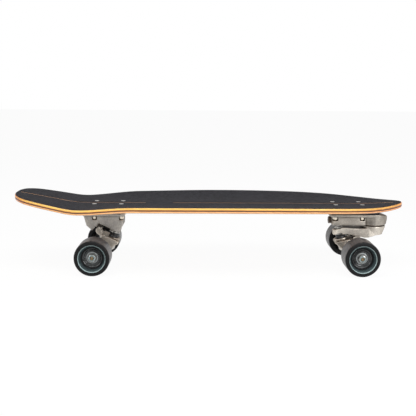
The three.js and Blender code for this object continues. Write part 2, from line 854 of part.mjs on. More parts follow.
function frontHousing() {
  const tail = frontTruckPlace + housingTail;
  const cornerPlace = flangeHalfWidth - flangeCorner;
  const flangeShape = beltShape([
    { x: tail + flangeCorner, y: cornerPlace, r: flangeCorner },
    { x: tail + flangeCorner, y: -cornerPlace, r: flangeCorner },
    { x: armPivotX, y: 0, r: flangeHalfWidth },
  ]);
  const flange = planPrism(flangeShape, baseTop - flangeThickness, baseTop, 7);
  const wallTail = frontTruckPlace + housingWallTail;
  const wallNose = frontTruckPlace + housingWallNose;
  const walls = planPrism(
    roundedRectangle(wallTail, wallNose, housingWallHalf, housingWallCorner),
    housingBottom,
    baseTop - flangeThickness / 2,
    3,
  );
  const nose = turned([
    [0, housingBottom], [housingNoseFoot, housingBottom], [flangeHalfWidth, baseTop - housingShoulderDrop],
    [flangeHalfWidth, baseTop - flangeThickness / 2], [0, baseTop - flangeThickness / 2],
  ], fineFacets).translate(armPivotX, 0, 0);
  const housingEnd = armPivotX + flangeHalfWidth;
  const bevel = sidePrism(new THREE.Shape([
    new THREE.Vector2(frontTruckPlace + noseBevelStart, baseTop),
    new THREE.Vector2(housingEnd, baseTop - noseBevelDrop),
    new THREE.Vector2(housingEnd + cutOverrun, baseTop - noseBevelDrop),
    new THREE.Vector2(housingEnd + cutOverrun, baseTop + cutOverrun),
    new THREE.Vector2(frontTruckPlace + noseBevelStart, baseTop + cutOverrun),
  ]), 2 * flangeHalfWidth);
  const springRoomStart = frontTruckPlace + springBoreTail;
  const springBore = alongBoard(rod(springBoreRadius, springRoomStart, armPivotX, plainFacets))
    .translate(0, 0, springAxis);
  const adjusterBore = alongBoard(rod(
    adjusterRadius + seatGap, tail - cutOverrun, springRoomStart + cutOverrun, boltFacets,
  )).translate(0, 0, springAxis);
  const postBore = rod(postRadius + runningGap, housingBottom - cutOverrun, baseTop - postBoreTopDrop)
    .translate(armPivotX, 0, 0);
  const boltBore = rod(pivotBoltRadius + seatGap, housingBottom, baseTop + cutOverrun, boltFacets)
    .translate(armPivotX, 0, 0);
  const headSeat = baseTop - pivotHeadSeat;
  const headRecess = rod(pivotHeadRadius + seatGap, headSeat, baseTop + cutOverrun, plainFacets)
    .translate(armPivotX, 0, 0);
  return cutFrom(
    joined(flange, walls, nose), bevel, springBore, adjusterBore, postBore, boltBore, headRecess,
    ...nutPockets(frontTruckPlace), ...boltClearances,
  );
}

// Swing arm: a hub with an upright post, a web, a kingpin boss and a boss for the pivot cup
const armHeadSeat = front.seat + bossThickness - bossRecessDepth;

function armProfile() {
  const place = ([along, down]) => new THREE.Vector2(
    frontTruckPlace + armWebStart + along * armWebLength,
    baseTop - armWebDrop - down * armWebDepth,
  );
  const top = armTopShares.map(place);
  const foot = armFootShares.map(place);
  const shape = new THREE.Shape();
  shape.moveTo(top[0].x, top[0].y);
  shape.splineThru(top.slice(1));
  shape.lineTo(foot[0].x, foot[0].y);
  shape.splineThru(foot.slice(1));
  return shape;
}

function swingArm() {
  const bossTop = pointOn(front.king, front.seat + bossThickness, 0);
  const plan = planPrism(beltShape([
    { x: bossTop.x, y: 0, r: armWebTail },
    { x: armPivotX + armWebNoseShift, y: 0, r: armWebNose },
  ]), baseTop - 2 * hubBottomDrop, baseTop);
  const web = solidOf(plan).intersect(solidOf(sidePrism(armProfile(), hubRadius, 2)));
  const hub = turned([
    [0, hubBottom], [hubFoot, hubBottom], [hubRadius, hubTop - thrustThickness], [hubRadius, hubTop],
    [postRadius, hubTop], [postRadius, postTop], [0, postTop],
  ], fineFacets).translate(armPivotX, 0, 0);
  const boss = rod(bossRadius, front.seat, front.seat + bossThickness).applyMatrix4(front.king);
  const aboveBoss = rod(bossRadius + cutOverrun, front.seat + bossThickness, 2 * front.seat + bossThickness)
    .applyMatrix4(front.king);
  const belowBoss = rod(bossRadius + cutOverrun, 0, front.seat).applyMatrix4(front.king);
  const headPocket = rod(headPocketRadius, armHeadSeat, 2 * armHeadSeat, plainFacets)
    .applyMatrix4(front.king);
  const kingBore = rod(kingRadius + seatGap, 0, 2 * armHeadSeat, boltFacets).applyMatrix4(front.king);
  const boltBore = rod(pivotBoltRadius + runningGap, hubBottom - cutOverrun, postTop + cutOverrun, boltFacets)
    .translate(armPivotX, 0, 0);
  const washerSeat = hubBottom + hubCounterboreDepth;
  const nutSpace = rod(hubCounterbore, baseTop - 2 * hubBottomDrop, washerSeat, plainFacets)
    .translate(armPivotX, 0, 0);
  const aboveHub = ring(postRadius, 2 * hubRadius, hubTop, postTop + cutOverrun, fineFacets)
    .translate(armPivotX, 0, 0);
  const flat = new THREE.BoxGeometry(postRadius, 2 * postRadius, postTop - hubTop - thrustThickness)
    .translate(armPivotX - postFlat - postRadius / 2, 0, (postTop + hubTop + thrustThickness) / 2);
  return cutFrom(
    joined(hub, boss).add(web), aboveHub, aboveBoss, belowBoss, headPocket, kingBore,
    pivotSlot(front, slotHalfWidth), cupPocket(front), boltBore, nutSpace, flat,
  );
}

function pivotBolt() {
  const headSeat = baseTop - pivotHeadSeat + seatGap;
  const shank = rod(pivotBoltRadius, hubBottom, headSeat + pivotHeadHeight / 2, boltFacets);
  const head = rod(pivotHeadRadius, headSeat, headSeat + pivotHeadHeight, plainFacets);
  return joined(shank, head).translate([armPivotX, 0, 0]);
}

const pivotWasherTop = hubBottom + hubCounterboreDepth - seatGap;

function pivotWasher() {
  const low = pivotWasherTop - pivotWasherThickness;
  return ring(pivotBoltRadius + seatGap, pivotWasherRadius, low, pivotWasherTop).translate(armPivotX, 0, 0);
}

function pivotNut() {
  const top = pivotWasherTop - pivotWasherThickness - seatGap;
  const nut = rod(pivotNutRadius, top - pivotNutHeight, top, hexFacets);
  const bore = rod(pivotBoltRadius + seatGap, top - 2 * pivotNutHeight, top + cutOverrun, boltFacets);
  return cutFrom(solidOf(nut), bore).translate([armPivotX, 0, 0]);
}

function thrustRing() {
  return ring(thrustInner, thrustOuter, hubTop + seatGap, hubTop + seatGap + thrustThickness)
    .translate(armPivotX, 0, 0);
}

// Return spring: one tube on a helix whose end curls lie close together
function springPoints() {
  const radius = springOuterRadius - springWire / 2;
  const length = springEnd - springStart - springWire;
  const closePitch = springWire + springEndGap;
  const openCurls = springCurls - 2 * springEndCurls;
  const openPitch = (length - 2 * springEndCurls * closePitch) / openCurls;
  return Array.from({ length: springCurls * springSteps + 1 }, (_, step) => {
    const curl = step / springSteps;
    const first = Math.min(curl, springEndCurls);
    const last = Math.max(0, curl - springCurls + springEndCurls);
    const along = closePitch * (first + last) + openPitch * (curl - first - last);
    return new THREE.Vector3(
      frontTruckPlace + springStart + springWire / 2 + along,
      radius * Math.cos(fullTurn * curl),
      springAxis + radius * Math.sin(fullTurn * curl),
    );
  });
}

function returnSpring() {
  const points = springPoints();
  const rings = points.map((point, k) => {
    const before = points[Math.max(0, k - 1)];
    const after = points[Math.min(points.length - 1, k + 1)];
    const ahead = after.clone().sub(before).normalize();
    const outward = new THREE.Vector3(0, point.y, point.z - springAxis).normalize();
    const side = new THREE.Vector3().crossVectors(ahead, outward).normalize();
    const upright = new THREE.Vector3().crossVectors(side, ahead);
    return Array.from({ length: springSides }, (_, corner) => {
      const turn = fullTurn * corner / springSides;
      return point.clone()
        .addScaledVector(upright, springWire / 2 * Math.cos(turn))
        .addScaledVector(side, springWire / 2 * Math.sin(turn));
    });
  });
  const gaps = points.flatMap((point, k) => (
    points.slice(k + springSteps / 2).map((other) => point.distanceTo(other) - springWire)
  ));
  const leastGap = Math.min(...gaps);
  console.log(`return spring: least gap ${leastGap.toFixed(2)} mm, over ${leastSpringGap} mm`);
  return ringedGeometry(rings, false);
}

function springAdjuster() {
  const tail = frontTruckPlace + housingTail + housingTailStep;
  const padEnd = frontTruckPlace + springStart - seatGap;
  const hexStart = tail - seatGap - adjusterHexLength;
  const hex = alongBoard(rod(adjusterHexRadius, hexStart, tail - seatGap, hexFacets));
  const screw = alongBoard(rod(adjusterRadius, tail - adjusterHexLength / 2, padEnd, boltFacets));
  const pad = alongBoard(rod(adjusterPad, frontTruckPlace + springBoreTail + seatGap, padEnd, plainFacets));
  return joined(hex, screw, pad).translate([0, 0, springAxis]);
}

function springPlunger() {
  const start = frontTruckPlace + springEnd + seatGap;
  const end = armPivotX - postRadius - runningGap;
  const cup = turned([
    [0, start], [plungerRadius, start], [plungerRadius, end - plungerCrown],
    [plungerRadius / 2, end], [0, end],
  ], plainFacets);
  return alongBoard(cup).translate(0, 0, springAxis);
}

// Wheels, drawn with the outer face towards +Y
function tyre() {
  const half = wheelWidth / 2;
  const tread = wheelDiameter / 2 / Math.cos(Math.PI / wheelSegments);
  const floor = half - dishDepth;
  const oneSide = [
    [coreRadius + seatGap, coreHalf], [dishRadius, floor], [lipInner, half], [lipOuter, half],
    [tread - treadShoulder, treadShoulderPlace], [tread, treadHalf],
  ];
  const otherSide = oneSide.map(([radius, place]) => [radius, -place]).reverse();
  return turnedAcross([...otherSide, ...oneSide].reverse(), wheelSegments);
}

function core() {
  const web = bearingSpacing / 2 - seatGap;
  const seat = bearingRadius + seatGap;
  const oneSide = [
    [coreInnerRadius, web], [seat, web], [seat, coreHalf - bearingStep],
    [coreLipRadius, coreHalf], [coreRadius, coreHalf],
  ];
  const otherSide = oneSide.map(([radius, place]) => [radius, -place]).reverse();
  return turnedAcross([...oneSide, ...otherSide].reverse(), plainFacets);
}

function bearing(side) {
  const near = side * bearingSpacing / 2;
  const far = near + side * bearingWidth;
  const [low, high] = [Math.min(near, far), Math.max(near, far)];
  const bore = axleRadius + seatGap;
  return turnedAcross([[bearingRadius, low], [bearingRadius, high], [bore, high], [bore, low]], plainFacets);
}

function axleNut(side) {
  const start = bearingSpacing / 2 + bearingWidth + seatGap;
  const hexStart = start + speedWasher;
  const hexEnd = hexStart + axleNutHeight;
  const washer = rod(speedWasherRadius, start, hexStart + speedWasher, boltFacets);
  const hex = turned([
    [0, hexStart], [axleNutRadius, hexStart], [axleNutRadius, hexEnd - axleNutChamfer],
    [axleNutRadius - axleNutChamfer, hexEnd], [0, hexEnd],
  ], hexFacets);
  const hole = rod(axleRadius + seatGap, 0, hexEnd + cutOverrun, boltFacets);
  return geometryOf(cutFrom(joined(washer, hex), hole)).rotateX(-side * Math.PI / 2);
}

// The assembly
const board = new THREE.Group();

function addPiece(parent, name, form, material) {
  const geometry = form instanceof THREE.BufferGeometry ? form : geometryOf(form);
  const mesh = new THREE.Mesh(geometry, material);
  mesh.name = name;
  parent.add(mesh);
  return mesh;
}

addPiece(board, 'deck', deck(), woodFinish);
addPiece(board, 'grip_tape', gripTape(), gripFinish);
addPiece(board, 'rear_riser', riser(rearTruckPlace, rearRiserLength, rearRiserShift), rubberFinish);
addPiece(board, 'front_riser', riser(frontTruckPlace, frontRiserLength, frontRiserShift), rubberFinish);
boltPlaces.forEach(({ x, y }, k) => {
  addPiece(board, `deck_bolt_${k + 1}`, deckBolt(), steelFinish).position.set(x, y, 0);
});

addPiece(board, 'rear_base', rearBase(), castFinish);
addPiece(board, 'front_housing', frontHousing(), castFinish);
addPiece(board, 'swing_arm', swingArm(), castFinish);
addPiece(board, 'arm_pivot_bolt', pivotBolt(), steelFinish);
addPiece(board, 'arm_pivot_washer', pivotWasher(), steelFinish);
addPiece(board, 'arm_pivot_nut', pivotNut(), steelFinish);
addPiece(board, 'arm_thrust_ring', thrustRing(), darkSteelFinish);
addPiece(board, 'return_spring', returnSpring(), steelFinish);
addPiece(board, 'spring_adjuster', springAdjuster(), darkSteelFinish);
addPiece(board, 'spring_plunger', springPlunger(), steelFinish);

[['rear', rear, rearKingHeadPlace], ['front', front, armHeadSeat]].forEach(([end, frame, headSeat]) => {
  addPiece(board, `${end}_hanger`, hanger(frame), castFinish);
  addPiece(board, `${end}_axle`, axle(frame), steelFinish);
  addPiece(board, `${end}_kingpin`, kingpin(frame, headSeat), steelFinish);
  addPiece(board, `${end}_kingpin_nut`, kingNut(frame), steelFinish);
  addPiece(board, `${end}_upper_bushing`, upperBushing(frame), bushingFinish);
  addPiece(board, `${end}_lower_bushing`, lowerBushing(frame), bushingFinish);
  addPiece(board, `${end}_upper_washer`, upperWasher(frame), steelFinish);
  addPiece(board, `${end}_lower_washer`, lowerWasher(frame), steelFinish);
  addPiece(board, `${end}_pivot_cup`, pivotCup(frame), cupFinish);
  [['right', -1], ['left', 1]].forEach(([hand, side]) => {
    const wheel = new THREE.Group();
    wheel.position.set(frame.axleX, side * wheelPlace, axleHeight);
    board.add(wheel);
    addPiece(wheel, `${end}_${hand}_tyre`, tyre(), tyreFinish);
    addPiece(wheel, `${end}_${hand}_core`, core(), coreFinish);
    addPiece(wheel, `${end}_${hand}_outer_bearing`, bearing(side), steelFinish);
    addPiece(wheel, `${end}_${hand}_inner_bearing`, bearing(-side), steelFinish);
    addPiece(wheel, `${end}_${hand}_axle_nut`, axleNut(side), steelFinish);
  });
});

export default board;
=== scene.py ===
# %% [markdown]
# # Dressing a surf skateboard
# The packed solids give every piece its place and its motion. This file gives the board its
# looks: pressed maple, grit, raw castings, poured wheels and small steel parts. Each step first
# says what the piece is on the real board, how it could be made and why this way was chosen.

# %% Load the frame
import json
import math
import bmesh
import bpy
from mathutils import Matrix, Vector


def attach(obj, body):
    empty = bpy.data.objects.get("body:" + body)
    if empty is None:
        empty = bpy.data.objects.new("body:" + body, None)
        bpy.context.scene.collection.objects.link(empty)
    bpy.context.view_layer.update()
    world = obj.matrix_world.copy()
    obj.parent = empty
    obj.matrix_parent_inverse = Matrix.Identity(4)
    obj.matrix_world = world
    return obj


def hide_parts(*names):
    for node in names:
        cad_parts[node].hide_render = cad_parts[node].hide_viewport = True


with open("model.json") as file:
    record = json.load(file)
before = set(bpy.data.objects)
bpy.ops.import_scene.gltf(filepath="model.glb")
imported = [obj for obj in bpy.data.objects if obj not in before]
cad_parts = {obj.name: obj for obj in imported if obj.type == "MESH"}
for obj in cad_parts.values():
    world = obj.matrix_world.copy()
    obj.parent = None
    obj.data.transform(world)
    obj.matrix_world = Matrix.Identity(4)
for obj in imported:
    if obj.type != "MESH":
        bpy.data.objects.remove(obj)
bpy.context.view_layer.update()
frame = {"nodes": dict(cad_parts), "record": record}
mm = 0.001

# %% [markdown]
# ## The camera
# The photograph looks at the board's right rail from a little above, about a metre and a half
# away. A camera can be aimed by eye, but then nothing can be measured against the picture. So the
# place and the three small turns were fitted to the wheels, the bolts and the rails.

# %% Camera
def add_object(name, data):
    thing = bpy.data.objects.new(name, data)
    bpy.context.scene.collection.objects.link(thing)
    return thing


camera_place = Vector((-22.65, -1565.25, 367.0)) * mm
turn_right, look_down, lean = 0.0116, 0.1598, 0.0062
photo_pixels, focal_pixels, sensor_width = 416, 775.934, 36
ahead = Vector((math.sin(turn_right) * math.cos(look_down),
                math.cos(turn_right) * math.cos(look_down), -math.sin(look_down)))
level = Vector((math.cos(turn_right), -math.sin(turn_right), 0))
above = level.cross(ahead)
side_axis = level * math.cos(lean) + above * math.sin(lean)
up_axis = above * math.cos(lean) - level * math.sin(lean)
camera_data = bpy.data.cameras.new("photo_camera")
camera_data.sensor_width = sensor_width
camera_data.lens = sensor_width * focal_pixels / photo_pixels
camera_data.clip_end = 50
camera = add_object("photo_camera", camera_data)
camera.matrix_world = (Matrix.Translation(camera_place)
                       @ Matrix((side_axis, up_axis, -ahead)).transposed().to_4x4())
bpy.context.scene.camera = camera
print("lens:", round(camera_data.lens, 2), "mm")

# %% [markdown]
# ## Shader sums
# A finish is a graph of nodes, and many of them only add or multiply. They could be linked one by
# one, but the sum would be hard to read. So one small class holds a socket and turns +, - and *
# into Math nodes.

# %% Sockets that can be added and multiplied
class Wire:
    def __init__(self, graph, socket):
        self.graph, self.socket = graph, socket

    def sum_with(self, operation, first, second):
        return self.graph.node("ShaderNodeMath", {"operation": operation}, {0: first, 1: second})

    def __add__(self, other):
        return self.sum_with("ADD", self, other)

    def __sub__(self, other):
        return self.sum_with("SUBTRACT", self, other)

    def __rsub__(self, other):
        return self.sum_with("SUBTRACT", other, self)

    def __mul__(self, other):
        return self.sum_with("MULTIPLY", self, other)

    __radd__ = __add__
    __rmul__ = __mul__

    def output(self, name):
        return Wire(self.graph, self.socket.node.outputs[name])


print("reflected forms:", [name for name in vars(Wire) if name.startswith("__r")])

# %% [markdown]
# ## Nodes
# A node has settings, such as a ramp's stops, and sockets that take values or links. Each could
# be set in a line of its own, but one method that takes them all keeps a node to one line.
# `feed` links a result to the last node of a graph.

# %% Graphs of nodes
class Graph:
    def __init__(self, tree, last):
        self.tree, self.last = tree, tree.nodes[last]

    def node(self, kind, settings=None, inputs=None, output=0):
        node = self.tree.nodes.new(kind)
        for name, value in (settings or {}).items():
            if name == "stops":
                ramp = node.color_ramp
                while len(ramp.elements) < len(value):
                    ramp.elements.new(1.0)
                for element, (place, colour) in zip(ramp.elements, value):
                    element.position = place
                    element.color = (*colour, 1.0)
            elif name == "steps":
                node.color_ramp.interpolation = value
            else:
                setattr(node, name, value)
        for name, value in (inputs or {}).items():
            if isinstance(value, Wire):
                self.tree.links.new(value.socket, node.inputs[name])
            else:
                node.inputs[name].default_value = value
        return Wire(self, node.outputs[output])

    def feed(self, socket, value):
        self.tree.links.new(value.socket, self.last.inputs[socket])


print("graphs have", [name for name in vars(Graph) if name[0] != "_"])

# %% [markdown]
# ## A finish
# A finish is one material with a Principled shader. What is even is set on a socket. What varies
# is fed by noise in the piece's own space, which needs no unwrapping and moves with the piece.
# Photographs give colours as 0 to 255 with a display curve, and shaders want plain light, so
# `shade` converts them.

# %% Finish class
def shade(red, green, blue):
    def plain(value):
        value = value / 255
        return value / 12.92 if value <= 0.04045 else ((value + 0.055) / 1.055) ** 2.4
    return (plain(red), plain(green), plain(blue))


def dimmed(tone, share):
    return shade(*(value * share for value in tone))


class Finish(Graph):
    def __init__(self, name, slot, **even):
        self.material = bpy.data.materials.new(name)
        self.material.use_nodes = True
        super().__init__(self.material.node_tree, "Principled BSDF")
        self.slot = slot
        for socket, value in even.items():
            self.last.inputs[socket.replace("_", " ")].default_value = value

    def place(self):
        return self.node("ShaderNodeTexCoord").output("Object")

    def height(self):
        return self.node("ShaderNodeSeparateXYZ", {}, {0: self.place()}).output("Z")

    def stretched(self, along, across, upward):
        return self.node("ShaderNodeVectorMath", {"operation": "MULTIPLY"},
                         {0: self.place(), 1: (along, across, upward)})

    def grain(self, scale, detail, roughness=0.5, where=None):
        return self.node("ShaderNodeTexNoise", {}, {
            "Vector": where or self.place(), "Scale": scale, "Detail": detail,
            "Roughness": roughness})

    def specks(self, scale):
        cells = self.node("ShaderNodeTexVoronoi", {}, {"Vector": self.place(), "Scale": scale})
        return cells.output("Distance")

    def stored(self, name):
        return self.node("ShaderNodeAttribute", {"attribute_name": name}, {}, 2)

    def mask(self, level, low, high):
        return self.node("ShaderNodeMapRange", {"clamp": True}, {
            "Value": level, "From Min": low, "From Max": high})

    def band(self, level, rise, fall):
        return self.mask(level, *rise) * self.mask(level, *fall)

    def mix(self, share, first, second, how="MIX"):
        first, second = ((*c, 1.0) if isinstance(c, tuple) else c for c in (first, second))
        return self.node("ShaderNodeMix", {"data_type": "RGBA", "blend_type": how},
                         {0: share, 6: first, 7: second}, 2)

    def colour(self, value):
        self.feed("Base Color", value)

    def bumps(self, height, depth, strength):
        self.feed("Normal", self.node("ShaderNodeBump", {}, {
            "Strength": strength, "Distance": depth, "Height": height}))


print("shade(128, 128, 128) =", [round(v, 3) for v in shade(128, 128, 128)])

# %% [markdown]
# ## Studio floor
# The photograph is a cut-out on white. A plain white plane would turn grey where the lamps fall
# off. A pale floor that glows a little for the camera goes white where nothing shades it, and
# still keeps the board's soft shadow.

# %% Floor
far = 9
floor_mesh = bpy.data.meshes.new("studio_floor")
floor_mesh.from_pydata([(-far, -far, 0), (far, -far, 0), (far, far, 0), (-far, far, 0)], [],
                       [(0, 1, 2, 3)])
floor = add_object("studio_floor", floor_mesh)
paper = bpy.data.materials.new("studio_paper")
paper.use_nodes = True
card = Graph(paper.node_tree, "Material Output")
rays = card.node("ShaderNodeLightPath")
seen = (rays.output("Is Camera Ray") + rays.output("Is Glossy Ray")
        + rays.output("Is Transmission Ray"))
seen = card.node("ShaderNodeMath", {"operation": "MINIMUM"}, {0: seen, 1: 1.0})
lit = card.node("ShaderNodeBsdfDiffuse", {}, {"Color": (0.82, 0.82, 0.82, 1)})
glow = card.node("ShaderNodeEmission", {}, {"Color": (1, 1, 1, 1), "Strength": 1.0})
card.feed("Surface", card.node("ShaderNodeMixShader", {}, {0: seen * 0.95, 1: lit, 2: glow}))
floor_mesh.materials.append(paper)
print("floor:", 2 * far, "m wide")

# %% [markdown]
# ## White surroundings
# The background is plain white to the camera. If it threw all of that light on the board, nothing
# would have a dark side. So reflections get less of it, matt surfaces half of that, and the side
# where the camera stands gets less than the side behind the board.

# %% World
bpy.context.scene.view_settings.view_transform = "Standard"
world = bpy.data.worlds.new("studio_world")
bpy.context.scene.world = world
world.use_nodes = True
sky = Graph(world.node_tree, "Background")
rays = sky.node("ShaderNodeLightPath")
heading = sky.node("ShaderNodeSeparateXYZ", {}, {0: sky.node("ShaderNodeTexCoord")})
behind = sky.node("ShaderNodeMapRange", {"clamp": True}, {
    "Value": heading.output("Y"), "From Min": -0.75, "From Max": 0.15,
    "To Min": 0.5, "To Max": 0.8})
seen = rays.output("Is Camera Ray") + rays.output("Is Transmission Ray")
strength = seen + (1 - seen) * behind * (rays.output("Is Glossy Ray") * 0.5 + 0.5)
sky.feed("Strength", strength)
sky.last.inputs["Color"].default_value = (1, 1, 1, 1)
print("world nodes:", len(sky.tree.nodes))

# %% [markdown]
# ## Lamps
# Satin metal shows what shines on it. Point lamps would leave hard sparks, so three wide soft
# boxes do the work: one over the right rail, one in front of the nose, and a weak one that opens
# up the tail. Places and sizes are in metres, and power is in watts.

# %% Lamps
def lamp(name, place, aim, size, power):
    data = bpy.data.lights.new(name, "AREA")
    data.shape = "RECTANGLE"
    data.size, data.size_y = size
    data.energy = power
    light = add_object(name, data)
    light.location = place
    light.rotation_euler = (Vector(aim) - Vector(place)).to_track_quat("-Z", "Y").to_euler()


lamp("overhead_softbox", (0.0, -0.6, 1.5), (0, -0.05, 0.05), (2.0, 0.9), 26)
lamp("front_softbox", (1.3, -1.8, 0.7), (0.15, 0, 0.07), (1.2, 0.8), 20)
lamp("tail_fill", (-1.6, -1.5, 0.9), (-0.2, 0, 0.08), (1.0, 0.8), 9)
print("lamps:", len(bpy.data.lights))

# %% [markdown]
# ## Grit
# Grip tape is dark grit glued to a sheet: grains under a millimetre, each catching light its own
# way. As real grains it would need millions of faces, so colour and bump both come from fine
# noise, with sparks from small cells and a broad, faint mottle that still shows from afar.

# %% Grit finish
grit = Finish("grit_sheet", "grip", Roughness=0.92, Specular_IOR_Level=0.2)
fine = grit.grain(1500, 2.0)
sparkle = grit.mask(grit.specks(900), 0.35, 0.02)
cloud = grit.grain(130, 4.0, 0.7)
tone = grit.mix(grit.mask(fine, 0.3, 0.7), shade(10, 10, 12), shade(38, 37, 41))
tone = grit.mix(grit.mask(cloud, 0.4, 0.62) * 0.5, tone, shade(54, 53, 58))
grit.colour(grit.mix(sparkle * 0.14, tone, shade(150, 150, 156)))
grit.bumps(fine + sparkle * 0.6, 0.0006, 0.7)
print("grit nodes:", len(grit.tree.nodes))

# %% [markdown]
# ## Maple
# The deck's edge shows its plies. They could be thin meshes in a stack, but the real deck is one
# pressed board. So its mesh will store each point's height through the laminate as `ply`, and a
# stepped ramp colours it. `end_grain` is high where the rail cuts across the grain, at tail and
# nose, which drink more lacquer. Noise stretched along the board gives streaks and pores.

# %% Maple finish
maple = Finish("maple_plies", "maple", Roughness=0.4, Coat_Weight=0.25, Coat_Roughness=0.2)
plies = maple.node("ShaderNodeValToRGB", {"steps": "CONSTANT", "stops": [
    (0.0, shade(206, 172, 140)), (0.12, shade(252, 190, 124)), (0.34, shade(88, 54, 32)),
    (0.46, shade(72, 44, 26)), (0.56, shade(190, 126, 60)), (0.68, shade(246, 204, 104)),
    (0.88, shade(234, 188, 92)), (0.985, shade(198, 160, 128)),
]}, {"Fac": maple.stored("ply")})
streaks = maple.grain(1.0, 4.0, 0.55, maple.stretched(14, 260, 520))
pores = maple.grain(1.0, 2.0, 0.5, maple.stretched(60, 1500, 1500))
cut_across = maple.mask(maple.stored("end_grain"), 0.35, 1.0)
wood = maple.mix(maple.mask(streaks, 0.35, 0.75) * 0.45, plies, shade(196, 132, 72), "MULTIPLY")
wood = maple.mix(cut_across * 0.75, wood, shade(226, 150, 88), "MULTIPLY")
maple.colour(maple.mix(maple.mask(pores, 0.58, 0.75) * 0.3, wood, shade(140, 92, 52)))
maple.feed("Roughness", 0.34 + maple.mask(streaks, 0.3, 0.7) * 0.16)
maple.bumps(pores + streaks * 0.4, 0.0002, 0.4)
print("maple nodes:", len(maple.tree.nodes))

# %% [markdown]
# ## Raw castings
# The trucks are cast and left raw: a warm grey with a satin skin, finely pitted, brighter where
# edges rub, with painted shade in hollows and in corners. Masks could be painted, but these come
# from the shape itself: Pointiness tells edges from hollows, and ambient occlusion finds corners,
# also between parts. The shallow pockets of the nuts get less of that painted shade, between two
# heights in metres. The hanger and arm finishes are lighter copies, painted light for castings
# that catch more light, and the base's is a little paler and greyer.

# %% Casting finishes
pocket_rise, pocket_fall = (0.093, 0.094), (0.1025, 0.1015)


def raw_casting(name, low, high):
    finish = Finish(name, "raw_casting", Metallic=0.92, Specular_Tint=(0.5, 0.48, 0.46, 1.0))
    sand = finish.grain(1100, 3.0, 0.6)
    blotch = finish.grain(55, 4.0, 0.55)
    patch = finish.grain(420, 2.0, 0.5)
    pits = finish.mask(finish.specks(520), 0.22, 0.05)
    edge = finish.node("ShaderNodeNewGeometry").output("Pointiness")
    # Hollows found by Pointiness get painted shade: a darker tone where shade falls.
    rubbed, painted_hollow_shade = finish.mask(edge, 0.505, 0.56), finish.mask(edge, 0.495, 0.45)
    # Ambient occlusion, which also sees neighbouring parts, paints shade into corners and between
    # parts.
    open_sky = finish.node("ShaderNodeAmbientOcclusion", {"samples": 12}, {"Distance": 0.02}, 1)
    pocket = finish.band(finish.height(), pocket_rise, pocket_fall)
    corner = finish.mask(open_sky, 0.62, 0.12) * (0.85 - pocket * 0.35)
    skin = finish.mix(finish.mask(blotch, 0.35, 0.7), shade(*low), shade(*high))
    skin = finish.mix(finish.mask(patch, 0.42, 0.62) * 0.22, skin, dimmed(low, 0.62))
    skin = finish.mix(finish.mask(sand, 0.5, 0.75) * 0.5, skin, dimmed(low, 0.74))
    skin = finish.mix(pits * 0.35, skin, shade(84, 80, 76))
    skin = finish.mix(painted_hollow_shade * 0.6, skin, shade(84, 78, 72))
    skin = finish.mix(corner, skin, shade(58, 52, 48))
    finish.colour(finish.mix(rubbed * 0.35, skin, shade(226, 218, 205)))
    finish.feed("Roughness", 0.32 + finish.mask(sand, 0.3, 0.7) * 0.2 - rubbed * 0.1)
    finish.bumps(sand - pits * 0.8, 0.0004, 0.55)
    return finish


casting = raw_casting("raw_casting", (162, 156, 147), (188, 181, 171))
base_casting = raw_casting("raw_base_casting", (166, 162, 157), (192, 187, 180))
# Hanger and arm get lighter copies of the raw grey: painted light where those castings catch more
# light.
hanger_casting_painted_light = raw_casting("raw_hanger_casting_painted_light", (180, 173, 163), (212, 203, 191))
arm_casting_painted_light = raw_casting("raw_arm_casting_painted_light", (210, 203, 192), (240, 232, 220))
print("casting nodes:", len(casting.tree.nodes))

# %% [markdown]
# ## Steel
# Bolts, washers and pins are turned steel with a thin plating, smoother than the castings. Six
# graphs could be drawn by hand, but only tone and roughness differ, so one function makes them.
# A deck bolt and its lock nut are one mesh, so below a height the nut gets a paler tone: a painted
# highlight.

# %% Steel finishes
nut_line = (0.1012, 0.1006)


def steel(name, slot, light, dark, rough, metallic=1.0, nut_painted_highlight=None):
    finish = Finish(name, slot, Metallic=metallic)
    film = finish.grain(240, 4.0, 0.6)
    rub = finish.grain(1.0, 2.0, 0.5, finish.stretched(900, 900, 120))
    skin = finish.mix(finish.mask(film, 0.35, 0.7), shade(*light), shade(*dark))
    # Below the nut line the tone is paler: a painted highlight on the nut.
    if nut_painted_highlight:
        skin = finish.mix(finish.mask(finish.height(), *nut_line), skin, shade(*nut_painted_highlight))
    finish.colour(skin)
    finish.feed("Roughness", rough + finish.mask(rub, 0.3, 0.7) * 0.14)
    finish.bumps(rub, 0.00008, 0.3)
    return finish


plated = steel("plated_steel", "plated_steel", (206, 203, 197), (176, 172, 165), 0.24)
bright = steel("bearing_steel", "bearing_steel", (184, 190, 190), (150, 156, 157), 0.26)
yellow_zinc = steel("yellow_zinc", "plated_steel", (146, 126, 100), (100, 88, 72), 0.4)
black_steel = steel("black_oxide", "black_steel", (122, 106, 92), (66, 58, 52), 0.34, 0.8)
bolt_steel = steel("bolt_steel", "plated_steel", (196, 193, 188), (164, 161, 155), 0.28,
                   nut_painted_highlight=(236, 226, 208))
shield_steel = steel("shield_steel", "bearing_steel", (128, 130, 130), (104, 106, 106), 0.4)
print("steel nodes:", len(plated.tree.nodes))

# %% [markdown]
# ## Rubber, urethane and plastic
# Bushings are poured urethane: near-black and satin, with a faint dusty bloom. Risers are duller
# rubber, and the wheel cores are glossy moulded plastic. A flat black would look like a hole in
# the picture, so each has two tones that a slow noise blends.

# %% Dark finishes
def poured(name, slot, dark, bloom, rough, spread=0.12, coat=0.0):
    finish = Finish(name, slot, Coat_Weight=coat, Coat_Roughness=0.12, Specular_IOR_Level=0.5)
    haze = finish.grain(70, 4.0, 0.6)
    dust = finish.grain(900, 2.0)
    base = finish.mix(finish.mask(haze, 0.35, 0.75) * 0.6, shade(*dark), shade(*bloom))
    finish.colour(finish.mix(finish.mask(dust, 0.6, 0.8) * 0.25, base, shade(*bloom)))
    finish.feed("Roughness", rough + finish.mask(haze, 0.3, 0.7) * spread)
    finish.bumps(dust, 0.0001, 0.25)
    return finish


